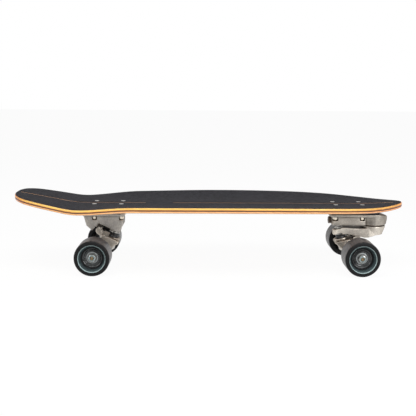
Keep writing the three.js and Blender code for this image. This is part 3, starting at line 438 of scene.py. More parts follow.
riser_rubber = poured("riser_rubber", "riser", (22, 24, 31), (34, 36, 44), 0.62)
bushing_urethane = poured("bushing_urethane", "bushing_urethane", (24, 23, 25), (44, 43, 46), 0.34)
cup_plastic = poured("cup_plastic", "cup_plastic", (26, 26, 29), (40, 40, 44), 0.5)
core_plastic = poured("core_plastic", "hub_plastic", (32, 34, 35), (78, 81, 82), 0.16, 0.08, 0.9)
nylon = poured("nylon_insert", "plated_steel", (128, 148, 152), (158, 176, 178), 0.4)
print("dark finish nodes:", len(nylon.tree.nodes))

# %% [markdown]
# ## Wheel urethane
# A wheel has three looks in one pour: a scuffed tread, a dark lip, and a paler dish that ends in
# a thin line where the lip begins. Three materials would leave seams. Instead the mesh stores
# each point's distance from the axle as `from_axle` and how far out it faces as `outward`, in
# metres, and bands of these carry the colours. They stay true circles when the wheel rolls.

# %% Wheel finish
lip_start = (0.0268, 0.0265)
urethane = Finish("wheel_urethane", "wheel_urethane", Specular_IOR_Level=0.17,
                  Coat_Roughness=0.2)
haze = urethane.grain(60, 4.0, 0.6)
scuff = urethane.grain(1.0, 3.0, 0.6, urethane.stretched(500, 60, 500))
radius = urethane.stored("from_axle")
outer = urethane.mask(urethane.stored("outward"), 0.0, 0.001)
tread = urethane.mask(radius, 0.0338, 0.0343)
worn = tread * (0.45 + urethane.mask(scuff, 0.4, 0.7) * 0.4)
ring_line = urethane.band(radius, (0.0252, 0.0256), lip_start) * outer
dish_wall = urethane.band(radius, (0.0208, 0.0235), lip_start) * outer
tone = urethane.mix(urethane.mask(haze, 0.35, 0.75) * 0.5, shade(13, 13, 14), shade(24, 25, 27))
tone = urethane.mix(dish_wall, tone, shade(56, 67, 69))
tone = urethane.mix(worn, tone, shade(86, 83, 84))
urethane.colour(urethane.mix(ring_line * 0.85, tone, shade(150, 168, 168)))
urethane.feed("Roughness", 0.4 + urethane.mask(haze, 0.3, 0.7) * 0.12 + tread * 0.04)
urethane.feed("Coat Weight", tread * 0.35)
urethane.bumps(scuff, 0.0001, 0.25)
print("wheel finish nodes:", len(urethane.tree.nodes))

# %% [markdown]
# ## Forms and meshes
# A form here is a list of points in millimetres and a list of faces. Blender could hold each as a
# mesh from the start, but plain lists are easy to move, join and measure. `mesh_of` turns a form
# into a mesh in metres, and `reworked` runs mesh tools on it, such as welding double points.

# %% Mesh helpers
def weld(work):
    bmesh.ops.remove_doubles(work, verts=work.verts, dist=1e-6)


def face_out(work):
    bmesh.ops.recalc_face_normals(work, faces=work.faces)


def merge_flats(work):
    bmesh.ops.dissolve_limit(work, angle_limit=math.radians(2), verts=work.verts, edges=work.edges)


def reworked(mesh, *steps):
    work = bmesh.new()
    work.from_mesh(mesh)
    for step in steps:
        step(work)
    work.to_mesh(mesh)
    work.free()
    return mesh


def mesh_of(name, form):
    points, faces = form
    mesh = bpy.data.meshes.new(name)
    mesh.from_pydata([Vector(p) * mm for p in points], [], faces)
    return reworked(mesh, face_out)


def form_of(mesh):
    return [tuple(v.co / mm) for v in mesh.vertices], [tuple(p.vertices) for p in mesh.polygons]


def store(mesh, name, values):
    mesh.attributes.new(name, "FLOAT", "POINT").data.foreach_set("value", values)


print("mesh steps:", [step.__name__ for step in (weld, face_out, merge_flats)])

# %% [markdown]
# ## Making pieces
# A piece is a mesh with a finish. It rides with a CAD body, and the CAD nodes that it stands for
# are hidden. One function does all of that, so no piece can miss a step. Faces are smooth, and
# edges over `sharp` degrees stay crisp.

# %% Piece helpers
def finish_piece(name, mesh, body, finish, nodes, place=None, sharp=32):
    reworked(mesh, face_out)
    mesh.polygons.foreach_set("use_smooth", [True] * len(mesh.polygons))
    mesh.set_sharp_from_angle(angle=math.radians(sharp))
    mesh.materials.clear()
    mesh.materials.append(finish.material)
    piece = add_object(name, mesh)
    if place is not None:
        piece.matrix_world = place
    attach(piece, body)
    if nodes:
        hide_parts(*nodes)


def make_piece(name, form, body, finish, nodes, place=None):
    finish_piece(name, mesh_of(name, form), body, finish, nodes, place)


# %% [markdown]
# ## Carving
# A recess or a hole could be drawn face by face. It is easier to make a loose tool of that shape
# and take it away with a Boolean modifier, as a drill would. `settled` writes what the modifiers
# made into a plain mesh, so nothing is left to work out when the board moves.

# %% Boolean helpers
def settled(work):
    bpy.context.view_layer.update()
    held = work.evaluated_get(bpy.context.evaluated_depsgraph_get())
    mesh = bpy.data.meshes.new_from_object(held)
    bpy.data.objects.remove(work)
    return mesh


def carve(mesh, tools, how="DIFFERENCE"):
    work = add_object("carving", mesh)
    cutters = [add_object("cutter", tool) for tool in tools]
    for cutter in cutters:
        step = work.modifiers.new("cut", "BOOLEAN")
        step.operation = how
        step.solver = "EXACT"
        step.object = cutter
    result = settled(work)
    for cutter in cutters:
        bpy.data.objects.remove(cutter)
    return result


def block(*levels):
    corners = [(x, y, z) for z, start, end, half_wide in levels
               for x, y in ((start, -half_wide), (end, -half_wide), (end, half_wide),
                            (start, half_wide))]
    return corners, [(3, 2, 1, 0), (4, 5, 6, 7), (0, 1, 5, 4), (1, 2, 6, 5), (2, 3, 7, 6),
                     (3, 0, 4, 7)]


print("a block has", len(block((0, 0, 1, 1), (1, 0, 1, 1))[1]), "faces")

# %% [markdown]
# ## Turned forms
# Wheels, bushings, washers and pins are all turned: a profile of radius and height swept round an
# axis. A Screw modifier does that too, but a function gives points that can be joined and moved
# at once. Real edges are never knife sharp, so `eased` first rounds each corner of a profile.

# %% Turning helpers
def on_circle(radius, share):
    return radius * math.cos(math.tau * share), radius * math.sin(math.tau * share)


def eased(profile, size, steps=3, closed=False):
    out = []
    count = len(profile)
    for k, corner in enumerate(profile):
        here = Vector(corner)
        if not closed and k in (0, count - 1):
            out.append(tuple(here))
            continue
        before, after = Vector(profile[k - 1]), Vector(profile[(k + 1) % count])
        reach = min(size, (before - here).length * 0.45, (after - here).length * 0.45)
        start = here + (before - here).normalized() * reach
        end = here + (after - here).normalized() * reach
        for s in range(steps + 1):
            t = s / steps
            out.append(tuple(start * (1 - t) ** 2 + here * 2 * t * (1 - t) + end * t * t))
    return out


def turned(profile, segments, closed=False):
    points, faces, rings = [], [], []
    for radius, height in profile:
        if radius < 1e-6:
            rings.append([len(points)] * segments)
            points.append((0, 0, height))
        else:
            rings.append(list(range(len(points), len(points) + segments)))
            points += [(*on_circle(radius, k / segments), height) for k in range(segments)]
    for low, high in zip(rings, rings[1:] + (rings[:1] if closed else [])):
        for k in range(segments):
            n = (k + 1) % segments
            face = list(dict.fromkeys((low[k], low[n], high[n], high[k])))
            if len(face) > 2:
                faces.append(face)
    return points, faces


def ring(profile, size=0.3, steps=2, segments=64):
    return turned(eased(profile, size, steps, True), segments, True)


def mirrored_ring(side, segments):
    return turned(side + [(radius, -height) for radius, height in reversed(side)], segments, True)


print("a ring of 64 has", len(ring([(4, 0), (8, 0), (8, 2), (4, 2)])[1]), "faces")

# %% [markdown]
# ## Threads, places and joins
# A real thread is a spiral. On bolts this small a row of grooves reads the same and stays a
# turned form. `placed` says where a form goes and how it is turned, `moved` takes it there, and
# `together` joins forms into one.

# %% Thread, place and join helpers
thread_pitch, thread_depth = 1.25, 0.5


def threaded(radius, low, high):
    turns = int((high - low) / thread_pitch)
    step = (high - low) / turns
    out = []
    for k in range(turns):
        out += [(radius, low + step * k), (radius - thread_depth, low + step * (k + 0.5))]
    return out + [(radius, high)]


def placed(x, y, z, angle=0, axis="Z"):
    return Matrix.Translation((x, y, z)) @ Matrix.Rotation(angle, 4, axis)


def moved(form, matrix):
    points, faces = form
    return [tuple(matrix @ Vector(p)) for p in points], faces


def together(*forms):
    points, faces = [], []
    for more_points, more_faces in forms:
        start = len(points)
        points += more_points
        faces += [tuple(k + start for k in face) for face in more_faces]
    return points, faces


print("a thread 15 mm long has", len(threaded(4.0, 0, 15)) // 2, "turns")

# %% [markdown]
# ## Hexagons
# A nut's corners are cut back by a shallow cone on both faces. A bevel would cut the flats too. So
# a hexagon is made as on the machine: a turned blank with sloping ends, kept only where it lies
# inside a six-sided bar, and then drilled.

# %% Hexagon
chamfer, blank_segments = 0.32, 48


def hexagon(circumradius, low, high, bore=0):
    flat = circumradius * math.cos(math.pi / 6)
    ease = circumradius - flat + chamfer
    blank_radius, slope = circumradius + 0.2, ease * 0.6
    blank = mesh_of("blank", turned([
        (0, low), (circumradius - ease, low), (blank_radius, low + slope),
        (blank_radius, high - slope), (circumradius - ease, high), (0, high)], blank_segments))
    corners = [on_circle(circumradius, k / 6) for k in range(6)]
    points = [(x, y, low - 1) for x, y in corners] + [(x, y, high + 1) for x, y in corners]
    faces = [tuple(range(5, -1, -1)), tuple(range(6, 12))]
    faces += [(k, (k + 1) % 6, (k + 1) % 6 + 6, k + 6) for k in range(6)]
    body = carve(blank, [mesh_of("six_sided_bar", (points, faces))], "INTERSECT")
    if bore:
        drill = turned([(0, low - 1), (bore, low - 1), (bore, high + 1), (0, high + 1)],
                       blank_segments)
        body = carve(body, [mesh_of("drill", drill)])
    return form_of(body)


print("a nut's blank has", blank_segments, "sides")

# %% [markdown]
# ## The deck's mould and outline
# Seven plies are pressed in one mould, which gives the raised rails, the kick of the tail and the
# lift of the nose. The outline is then cut through it. Both could be modelled by hand, but as a
# height function and a curve through measured points the grip sheet can use the same two.

# %% Mould and outline
deck_long, deck_wide = 782.7, 254.0
deck_low, deck_high, grip_low, grip_high = 114.9, 125.1, 125.25, 125.85
flat_half, hollow_depth, hollow_run = 26.0, 9.3, 118
bend_place, bend_half, tail_rise = 270.85, 17.0, math.tan(math.radians(10.6))
nose_run, nose_lift = 104, 4.5
outline_shares = [
    (-1, 0), (-0.9977, 0.19), (-0.9783, 0.42), (-0.931, 0.6), (-0.855, 0.695), (-0.714, 0.785),
    (-0.563, 0.872), (-0.312, 0.943), (-0.06, 0.994), (0.121, 1), (0.322, 0.975), (0.523, 0.91),
    (0.684, 0.79), (0.815, 0.602), (0.916, 0.366), (0.979, 0.165), (0.9962, 0.07), (1, 0),
]


def mould(x, y):
    past = bend_half - bend_place - x
    inside = min(max(past, 0), 2 * bend_half)
    rise = tail_rise * (inside * inside / (4 * bend_half) + max(0, past - 2 * bend_half))
    nose = max(0, x - deck_long / 2 + nose_run) / nose_run
    across = max(0, abs(y) - flat_half) / (deck_wide / 2 - flat_half)
    t = min(max((x + bend_place) / hollow_run, 0), 1)
    return rise + nose_lift * nose ** 2 + hollow_depth * t * t * (3 - 2 * t) * across ** 2


def through(points, steps):
    out = []
    count = len(points)
    for k in range(count):
        p0, p1, p2, p3 = (Vector(points[(k + d) % count]) for d in (-1, 0, 1, 2))
        d0, d1, d2 = ((b - a).length ** 0.5 for a, b in ((p0, p1), (p1, p2), (p2, p3)))
        m1 = ((p1 - p0) / d0 - (p2 - p0) / (d0 + d1) + (p2 - p1) / d1) * d1
        m2 = ((p2 - p1) / d1 - (p3 - p1) / (d1 + d2) + (p3 - p2) / d2) * d1
        for s in range(steps):
            t = s / steps
            out.append(p1 * (2 * t ** 3 - 3 * t ** 2 + 1) + m1 * (t ** 3 - 2 * t ** 2 + t)
                       + p2 * (3 * t ** 2 - 2 * t ** 3) + m2 * (t ** 3 - t ** 2))
    return out


right_edge = [(a * deck_long / 2, -b * deck_wide / 2) for a, b in outline_shares]
outline = through(right_edge + [(x, -y) for x, y in right_edge[-2:0:-1]], 8)
print("outline points:", len(outline))

# %% [markdown]
# ## Board rings
# The board's mesh is a set of rings of points. They start at a spine along the middle, widen to
# the outline, turn round the rail as a router's bit would, and close again on the other face.
# A grid would leave stairs at the outline, and rings follow it exactly.

# %% Board form
spine_tail, spine_nose = -0.84 * deck_long / 2, 0.8 * deck_long / 2
ring_shares = [None, 0, 0.14, 0.28, 0.42, 0.56, 0.7, 0.84]


def along_outline(k):
    return (outline[(k + 1) % len(outline)] - outline[k - 1]).normalized()


def inset_outline(inset):
    out = []
    for k, point in enumerate(outline):
        along = along_outline(k)
        out.append((point.x - along.y * inset, point.y + along.x * inset))
    return out


def ring_towards_middle(edge, share):
    out = []
    for x, y in edge:
        spine = min(max(x, spine_tail), spine_nose)
        reach = math.hypot(x - spine, y)
        distance = 0 if share is None else flat_half + (reach - flat_half) * share
        out.append((spine + (x - spine) * distance / reach, y * distance / reach))
    return out


def board(low, high, low_round, high_round, inset=0.0, steps=4):
    under, over = inset_outline(inset + low_round), inset_outline(inset + high_round)
    angles = [math.pi / 2 * s / steps for s in range(steps + 1)]
    rings = [(ring_towards_middle(under, share), low, False) for share in ring_shares]
    rings += [(inset_outline(inset + low_round * (1 - math.sin(angle))),
               low + low_round * (1 - math.cos(angle)), True) for angle in angles]
    rings += [(inset_outline(inset + high_round * (1 - math.cos(angle))),
               high - high_round * (1 - math.sin(angle)), True) for angle in angles]
    rings += [(ring_towards_middle(over, share), high, False) for share in reversed(ring_shares)]
    count = len(outline)
    points = [(x, y, base + mould(x, y)) for edge, base, _ in rings for x, y in edge]
    faces = [(r * count + k, r * count + (k + 1) % count, (r + 1) * count + (k + 1) % count,
              (r + 1) * count + k) for r in range(len(rings) - 1) for k in range(count)]
    facing = [abs(along_outline(k).y) for k in range(count)]
    end_grain = [share if on_rail else 0.0 for _, _, on_rail in rings for share in facing]
    return (points, faces), end_grain


print("rings on each face:", len(ring_shares))

# %% [markdown]
# ## The deck
# Eight bolts pass through the deck with their heads sunk level with the grip. Holes drawn into
# the rings would bend them, so each is carved with a turned tool. The height through the laminate
# is stored after that, and so the walls of the holes get the right plies too.

# %% Deck
rear_place, front_place = -206.25, 280.25
bolt_along, bolt_across = 27.0, 20.65
bolt_places = [(place + a * bolt_along, b * bolt_across)
               for place in (rear_place, front_place) for a in (-1, 1) for b in (-1, 1)]


def bolt_holes():
    hole = turned([(0, 100), (2.7, 100), (2.7, grip_high - 2.9), (4.9, grip_high - 0.3),
                   (4.9, grip_high + 3), (0, grip_high + 3)], 32)
    return [mesh_of("bolt_hole", moved(hole, placed(x, y, 0))) for x, y in bolt_places]


deck_form, end_grain = board(deck_low, deck_high, 3.2, 1.4)
deck_blank = mesh_of("deck_blank", deck_form)
store(deck_blank, "end_grain", end_grain)
deck_mesh = carve(reworked(deck_blank, weld, face_out), bolt_holes())
store(deck_mesh, "ply", [
    (v.co.z / mm - mould(v.co.x / mm, v.co.y / mm) - deck_low) / (deck_high - deck_low)
    for v in deck_mesh.vertices])
finish_piece("pressed_deck", deck_mesh, "board", maple, ["deck"], sharp=50)
print("deck faces:", len(deck_mesh.polygons))

# %% [markdown]
# ## The grip sheet
# It is one sheet with two narrow slots along the middle line that leave the wood bare. A painted
# line would look the same from afar, but slots cut through the sheet, as on the real board, have
# edges that catch a little shade.

# %% Grip sheet
slot_half = 3.3
slot_tools = [mesh_of("slot", block((60, start, end, slot_half), (240, start, end, slot_half)))
              for start, end in ((-384.5, -131.35), (-75.85, 375.0))]
grip_form, _ = board(grip_low, grip_high, 0.1, 0.25, 1.3, 2)
sheet = reworked(mesh_of("sheet", grip_form), weld, face_out)
grip_mesh = carve(sheet, slot_tools + bolt_holes())
finish_piece("grit_sheet", grip_mesh, "board", grit, ["grip_tape"], sharp=40)
print("grip faces:", len(grip_mesh.polygons))

# %% [markdown]
# ## Deck bolts
# Each bolt is a sunk head with a cross recess, a shank and a lock nut under the truck's flange.
# All eight are alike, so the form is made once and placed eight times. The cross is carved with
# two tapered blades, as the punch in a screw factory does it.

# %% Deck bolts
base_top, gap = 106.3, 0.3
nut_top = base_top - 5.6 - gap
bolt_head = mesh_of("bolt", turned(eased([
    (0, 94.2), (2.0, 94.2), (2.4, 94.8), (2.4, grip_high - 2.6), (4.6, grip_high - 0.1),
    (4.5, grip_high + 0.15), (2.6, grip_high + 0.4), (0, grip_high + 0.42)], 0.15, 2), 40))
blade = block((grip_high - 1.6, -1.0, 1.0, 0.42), (grip_high + 1, -2.7, 2.7, 0.42))
blades = [mesh_of("blade", moved(blade, placed(0, 0, 0, angle + 0.5)))
          for angle in (0, math.pi / 2)]
collar = turned(eased([(0, nut_top - 5), (3.6, nut_top - 5), (4.3, nut_top - 4.4),
                       (4.3, nut_top - 3.6), (0, nut_top - 3.6)], 0.3), 32)
bolt_form = together(form_of(carve(bolt_head, blades)), hexagon(5.3, nut_top - 3.8, nut_top),
                     collar)
for number, (x, y) in enumerate(bolt_places, 1):
    make_piece(f"bolt_and_lock_nut_{number}", bolt_form, "board", bolt_steel,
               [f"deck_bolt_{number}"], placed(x * mm, y * mm, 0))
print("bolts:", len(bolt_places), "points in each:", len(bolt_form[0]))

# %% [markdown]
# ## Castings
# A sand casting has no sharp inside corner and no sharp outside edge: metal flows round both.
# Bevels would have to be chosen edge by edge. Remeshing the solid in small cubes and then
# smoothing it melts every edge, and every joint between forms, into such a fillet.

# %% Castings
def cast(node, body, finish):
    work = add_object("casting_work", reworked(frame["nodes"][node].data.copy(), weld))
    skin = work.modifiers.new("skin", "REMESH")
    skin.mode = "VOXEL"
    skin.voxel_size = 0.75 * mm
    melt = work.modifiers.new("melt", "SMOOTH")
    melt.factor = 0.5
    melt.iterations = 7
    mesh = settled(work)
    finish_piece(f"cast_{node}", mesh, body, finish, [node], sharp=180)
    print(node, "faces:", len(mesh.polygons))


cast("rear_base", "board", base_casting)
cast("front_housing", "board", casting)
cast("swing_arm", "front_arm", arm_casting_painted_light)
cast("rear_hanger", "rear_hanger_body", hanger_casting_painted_light)
cast("front_hanger", "front_hanger_body", hanger_casting_painted_light)

# %% [markdown]
# ## Kingpin lines
# Each truck hangs on two lines that cross in the hanger's ring: the kingpin's, which leans, and
# the pivot's, which runs to the cup. With a matrix for each line, its pieces can be drawn upright
# round the origin and then laid on it in one move. Lengths run along these lines from the ring's
# middle: `upper` is the barrel bushing's height, `head` is where the bolt's head starts, and
# `mouth` is where the pivot cup opens.

# %% Truck lines
ring_height = 50.0
rear_ring, front_ring = rear_place + 6.9, front_place - 10.1


def leaning(x, degrees):
    return placed(x, 0, ring_height, math.radians(degrees), "Y")


trucks = {
    "rear": dict(body="board", line=leaning(rear_ring, 16), pivot=leaning(rear_ring, -47),
                 upper=11.0, head=44.0, mouth=43.5, axle=rear_place - 21.1),
    "front": dict(body="front_arm", line=leaning(front_ring, -14), pivot=leaning(front_ring, 67.5),
                  upper=10.0, head=23.7, mouth=43.2, axle=front_place + 11.5),
}
print("axles at x =", [truck["axle"] for truck in trucks.values()])

# %% [markdown]
# ## Kingpin stack
# On each kingpin sit a washer, a barrel bushing, the hanger's ring, a cone bushing, a second
# washer and a lock nut, and a plastic cup holds the hanger's pivot. Stacked cylinders would lack
# their waists and lips. All are turned, so each is a profile, measured from the ring's middle.

# %% Kingpin pieces
bore, stem, ring_face = 5.06, 4.76, 3.8
for end, truck in trucks.items():
    head, mouth = truck["head"], truck["mouth"]
    low, high = ring_face, ring_face + truck["upper"]
    middle, seat = (low + high) / 2, high + gap
    barrel = ring([
        (bore, low), (9.6, low), (10, low + 0.8), (10, low + 2), (9.2, middle), (10, high - 2),
        (10, high - 0.8), (9.6, high), (bore, high)], 0.5, 3)
    cone = ring([
        (bore, -12.3), (7.3, -12.3), (7.7, -11.7), (9.9, -6.4), (10, -5.8), (10, -4.2),
        (9.7, -ring_face), (bore, -ring_face)], 0.5, 3)
    upper_washer = ring([
        (bore, seat + 0.5), (9.9, seat + 0.5), (10.1, seat), (10.6, seat), (10.6, seat + 1.6),
        (10.2, seat + 2), (bore, seat + 2)], 0.25)
    lower_washer = ring([
        (bore, -14.6), (8.2, -14.6), (8.6, -14.2), (8.6, -12.6), (8.1, -12.6), (7.9, -13.0),
        (bore, -13.0)], 0.25)
    lock_nut = together(hexagon(8.2, -19.4, -14.9, bore), ring([
        (bore, -19.3), (6.9, -19.3), (6.9, -20.1), (6.3, -20.9), (bore, -20.9)], segments=48))
    shank = turned([(0, -22.9), (3.9, -22.9), (stem, -22.1)] + threaded(stem, -22, -10.7)
                   + [(stem, head + 1), (0, head + 1)], 40)
    bolt = together(shank, hexagon(8.2, head + gap, head + gap + 5))
    cup = turned(
        eased([(5.4, mouth + gap), (7, mouth + gap), (7, mouth + 11), (0, mouth + 11)], 0.3, 2)
        + eased([(0, mouth + 9), (3, mouth + 8.4), (5.4, mouth + 6), (5.4, mouth + gap)], 0.3, 2),
        48)
    for name, form, line, finish, node in (
            ("barrel_bushing", barrel, "line", bushing_urethane, "upper_bushing"),
            ("cone_bushing", cone, "line", bushing_urethane, "lower_bushing"),
            ("cupped_washer_upper", upper_washer, "line", plated, "upper_washer"),
            ("cupped_washer_lower", lower_washer, "line", plated, "lower_washer"),
            ("lock_nut", lock_nut, "line", plated, "kingpin_nut"),
            ("kingpin_bolt", bolt, "line", plated, "kingpin"),
            ("cup", cup, "pivot", cup_plastic, "pivot_cup")):
        make_piece(f"{end}_{name}", moved(form, truck[line]), truck["body"], finish,
                   [f"{end}_{node}"])
print("kingpin stacks:", list(trucks))

# %% [markdown]
# ## Swing-arm pivot
# The arm hangs on one upright bolt with a washer and a nut below, and turns against a dark ring
# under the housing. Only the ring's edge shows, and the rest could be left out, but the pieces
# may be taken apart, so all are made in full.

# %% Pivot pieces
pivot_line = placed(front_place + 53.9, 0, 0)
hub_low, hub_high = base_top - 43.3, base_top - 22.3 - 1.9 - 0.6
washer_top = hub_low + 7.2 - gap
washer_low = washer_top - 1.5
nut_high = washer_low - gap
dome_low = base_top - 5.2 + gap
pivot_pin = turned([(0, hub_low), (3.4, hub_low)] + threaded(4.0, hub_low + 0.5, hub_low + 9)
                   + [(4.0, dome_low + 1), (0, dome_low + 1)], 40)
dome = turned(eased([
    (0, dome_low), (7.6, dome_low), (7.6, dome_low + 2.6), (5.6, dome_low + 4.2),
    (0, dome_low + 4.4)], 0.5), 48)
washer = ring([
    (4.3, washer_low), (8.5, washer_low), (8.5, washer_top), (4.3, washer_top)], segments=48)
thrust_ring = ring([
    (15.6, hub_high + gap), (21, hub_high + gap), (21, hub_high + 2.2), (15.6, hub_high + 2.2)])
for name, form, finish, node in (
        ("pivot_bolt", together(pivot_pin, dome), plated, "arm_pivot_bolt"),
        ("pivot_washer", washer, plated, "arm_pivot_washer"),
        ("pivot_nut", hexagon(7.5, nut_high - 6.4, nut_high, 4.3), plated, "arm_pivot_nut"),
        ("thrust_washer", thrust_ring, black_steel, "arm_thrust_ring")):
    make_piece(name, moved(form, pivot_line), "board", finish, [node])
print("pivot at x =", round(pivot_line.translation.x, 2))

# %% [markdown]
# ## Spring adjuster
# A dark screw with a hexagon closes the tail end of the spring housing. Its hexagon shows behind
# the casting, with a socket for a key in its face. The socket is a turned tool of six segments,
# which is a hexagonal punch.

# %% Spring adjuster
spring_height = base_top - 14.8
spring_line = placed(front_place, 0, spring_height, math.pi / 2, "Y")
key_hole = mesh_of("key_hole", turned([(0, -39), (3.2, -39), (3.2, -35.3), (0, -35.3)], 6))
key_head = form_of(carve(mesh_of("adjuster_hex", hexagon(7.4, -38.3, -33.3)), [key_hole]))
screw = turned([(0, -33.4)] + threaded(5.6, -33.3, -28.5) + [(7, -27.7), (7, -20.8), (0, -20.8)],
               40)
make_piece("adjuster_screw", moved(together(key_head, screw), spring_line), "board", black_steel,
           ["spring_adjuster"])
print("adjuster at height", round(spring_height, 2))

# %% [markdown]
# ## Return spring
# The spring pushes the arm's post back to the middle. It is a wire wound on a bar, with its end
# curls laid close and its middle curls open. A curve object with a round bevel could draw it, but
# a tube swept along the same path has even faces and closed ends without a conversion.

# %% Return spring
curls, curl_steps, wire_sides = 8, 32, 12
wire_radius, coil_radius, end_pitch = 1.4, 6.1, 3.35
tail_end, nose_end = -20.5 + wire_radius, 25 - wire_radius
open_pitch = (nose_end - tail_end - 2 * end_pitch) / (curls - 2)
middle_line = []
for k in range(curls * curl_steps + 1):
    curl = k / curl_steps
    closed = min(curl, 1) + max(0, curl - curls + 1)
    run = end_pitch * closed + open_pitch * (curl - closed)
    y, z = on_circle(coil_radius, curl)
    middle_line.append(Vector((front_place + tail_end + run, y, spring_height + z)))
points, faces = [], []
for k, point in enumerate(middle_line):
    following = middle_line[min(k + 1, len(middle_line) - 1)]
    forward = (following - middle_line[max(k - 1, 0)]).normalized()
    outward = Vector((0, point.y, point.z - spring_height)).normalized()
    across = forward.cross(outward).normalized()
    upright = across.cross(forward)
    for side in range(wire_sides):
        up, aside = on_circle(wire_radius, side / wire_sides)
        points.append(tuple(point + upright * up + across * aside))
for first in range(0, len(points) - wire_sides, wire_sides):
    faces += [(first + s, first + (s + 1) % wire_sides, first + wire_sides + (s + 1) % wire_sides,
               first + wire_sides + s) for s in range(wire_sides)]
faces += [tuple(range(wire_sides - 1, -1, -1)), tuple(range(len(points) - wire_sides, len(points)))]
make_piece("coil_spring", (points, faces), "board", plated, ["return_spring"])
plunger = turned(eased([(0, 25.3), (7.6, 25.3), (7.6, 36.5), (3.8, 39.5), (0, 39.5)], 0.6), 48)
make_piece("plunger", moved(plunger, spring_line), "board", plated, ["spring_plunger"])
print("spring: curls", curls, "points", len(points))

# %% [markdown]
# ## Wheel forms
# A wheel is a turned urethane tyre poured round a plastic core, with a shielded bearing pressed
# into each side. They could be cut from cylinders step by step, but a closed profile swept round
# the axle gives every lip and groove at once. Each is drawn with its outer face towards +Y, and
# turned round for the right-hand side.

# %% Wheel forms
across_board = Matrix.Rotation(-math.pi / 2, 4, "X")


def facing_in(form):
    return [(x, -y, z) for x, y, z in form[0]], form[1]


tyre_form = moved(mirrored_ring(eased([
    (18.8, 13.4), (20.4, 14.0), (22.2, 17.0), (25.9, 24.8), (26.6, 25.5), (31.8, 25.5),
    (33.7, 24.2), (34.5, 21.2), (34.5, 0)], 1.2, 4), 128), across_board)
core_form = moved(mirrored_ring(eased([
    (6.4, 4.7), (11.3, 4.7), (11.3, 12.4), (11.9, 13.2), (12.9, 13.2), (13.5, 10.2), (15.0, 10.6),
    (17.8, 13.0), (18.5, 13.3), (18.5, 0)], 0.5, 3), 96), across_board)
bearing_form = moved(ring([
    (4.3, 5), (4.3, 12), (6.4, 12), (6.6, 11.0), (9.8, 11.0), (10.0, 12), (11, 12), (11, 5)],
    0.25), across_board)
shield = moved(ring([(6.7, 11.1), (6.7, 11.5), (9.7, 11.5), (9.7, 11.1)], 0.1), across_board)
nut_washer = ring([(4.3, 12.3), (6.2, 12.3), (6.2, 13.2), (4.3, 13.2)], 0.2, segments=40)
nut_form = moved(together(hexagon(7.3, 13.8, 18.4, 4.3), nut_washer), across_board)
nylon_form = moved(ring([
    (4.1, 18.2), (6.1, 18.2), (6.1, 19.0), (5.6, 19.8), (4.1, 19.8)], segments=40), across_board)
rolling = [
    ("moulded_core", core_form, core_plastic, "core"),
    ("bearing_out", bearing_form, bright, "outer_bearing"),
    ("bearing_in", facing_in(bearing_form), bright, "inner_bearing"),
    ("bearing_shields", together(shield, facing_in(shield)), shield_steel, None),
]
staying = [("nut", nut_form, plated, "axle_nut"), ("nut_nylon", nylon_form, nylon, None)]
print("tyre faces:", len(tyre_form[1]))

# %% [markdown]
# ## Placing the wheels
# The tyre, core and bearings roll, and the axle nut stays with the hanger, so they ride on
# different bodies. Their points could be moved to each corner, but a matrix for each object keeps
# them round the object's own origin, so that noise and stored distances roll with the wheel.

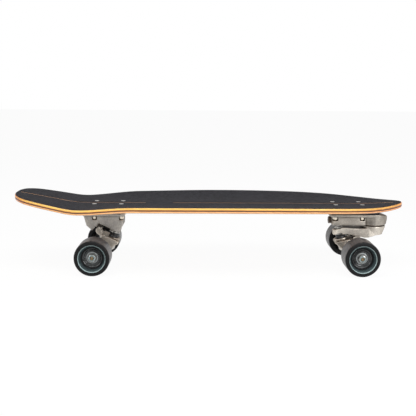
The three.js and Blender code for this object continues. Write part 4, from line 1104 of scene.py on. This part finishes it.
# %% Wheels
wheel_place, axle_height = 95.5, 34.5
for end, truck in trucks.items():
    for hand, side in (("right", -1), ("left", 1)):
        corner = f"{end}_{hand}"
        wheel, hanger = f"{corner}_wheel", f"{end}_hanger_body"
        place = placed(truck["axle"] * mm, side * wheel_place * mm, axle_height * mm,
                       0 if side > 0 else math.pi)
        tyre = mesh_of("tyre", tyre_form)
        store(tyre, "from_axle", [math.hypot(x, z) * mm for x, y, z in tyre_form[0]])
        store(tyre, "outward", [y * mm for x, y, z in tyre_form[0]])
        finish_piece(f"{corner}_poured_tyre", tyre, wheel, urethane, [f"{corner}_tyre"], place,
                     sharp=40)
        for body, pieces in ((wheel, rolling), (hanger, staying)):
            for name, form, finish, node in pieces:
                make_piece(f"{corner}_{name}", form, body, finish,
                           [f"{corner}_{node}"] if node else (), place)
print("wheels stand on z =", axle_height - max(z for x, y, z in tyre_form[0]))

# %% [markdown]
# ## Axles
# Each axle is one rod right through its hanger, threaded where the nuts go. It is drawn as two
# equal halves that meet inside the casting, so that one turned form serves both ends.

# %% Axles
half_axle = turned([(4.0, 0)] + threaded(4.0, 101, 116.0) + [(2.8, 117.5), (0, 117.5)], 40)
for end, truck in trucks.items():
    for hand, side in (("right", -1), ("left", 1)):
        place = placed(truck["axle"], 0, axle_height, -side * math.pi / 2, "X")
        make_piece(f"{end}_axle_{hand}", moved(half_axle, place), f"{end}_hanger_body",
                   yellow_zinc, [f"{end}_axle"])
print("half axle points:", len(half_axle[0]))

# %% [markdown]
# ## Risers
# The risers are moulded pads between deck and truck. The solid already has their shape, and a
# small bevel is all that a soft rubber edge needs. Flat faces are merged first, so that the bevel
# finds only the true edges.

# %% Risers
for end in trucks:
    pad = reworked(frame["nodes"][f"{end}_riser"].data.copy(), weld, merge_flats)
    work = add_object("riser_work", pad)
    bevel = work.modifiers.new("edge", "BEVEL")
    bevel.width = 0.6 * mm
    bevel.segments = 3
    bevel.angle_limit = math.radians(50)
    mesh = settled(work)
    finish_piece(f"{end}_riser_pad", mesh, "board", riser_rubber, [f"{end}_riser"])
    print(end, "riser faces:", len(mesh.polygons))

# %% [markdown]
# ## The solids' own finish
# Every CAD solid is stood in for by a piece above, but it should still look right when it is
# shown by itself. So each gets the finish of its slot in the parts list.

# %% Finishes of the solids
slot_finishes = {f.slot: f for f in (
    grit, maple, casting, black_steel, riser_rubber, bushing_urethane, cup_plastic, core_plastic,
    urethane, bright, plated)}
solid_slots = {part["node"]: part["material_slot"] for part in frame["record"]["subparts"]}
for node, thing in frame["nodes"].items():
    thing.data.materials.clear()
    thing.data.materials.append(slot_finishes[solid_slots[node]].material)
print("CAD nodes with a finish:", len(solid_slots))

# %% [markdown]
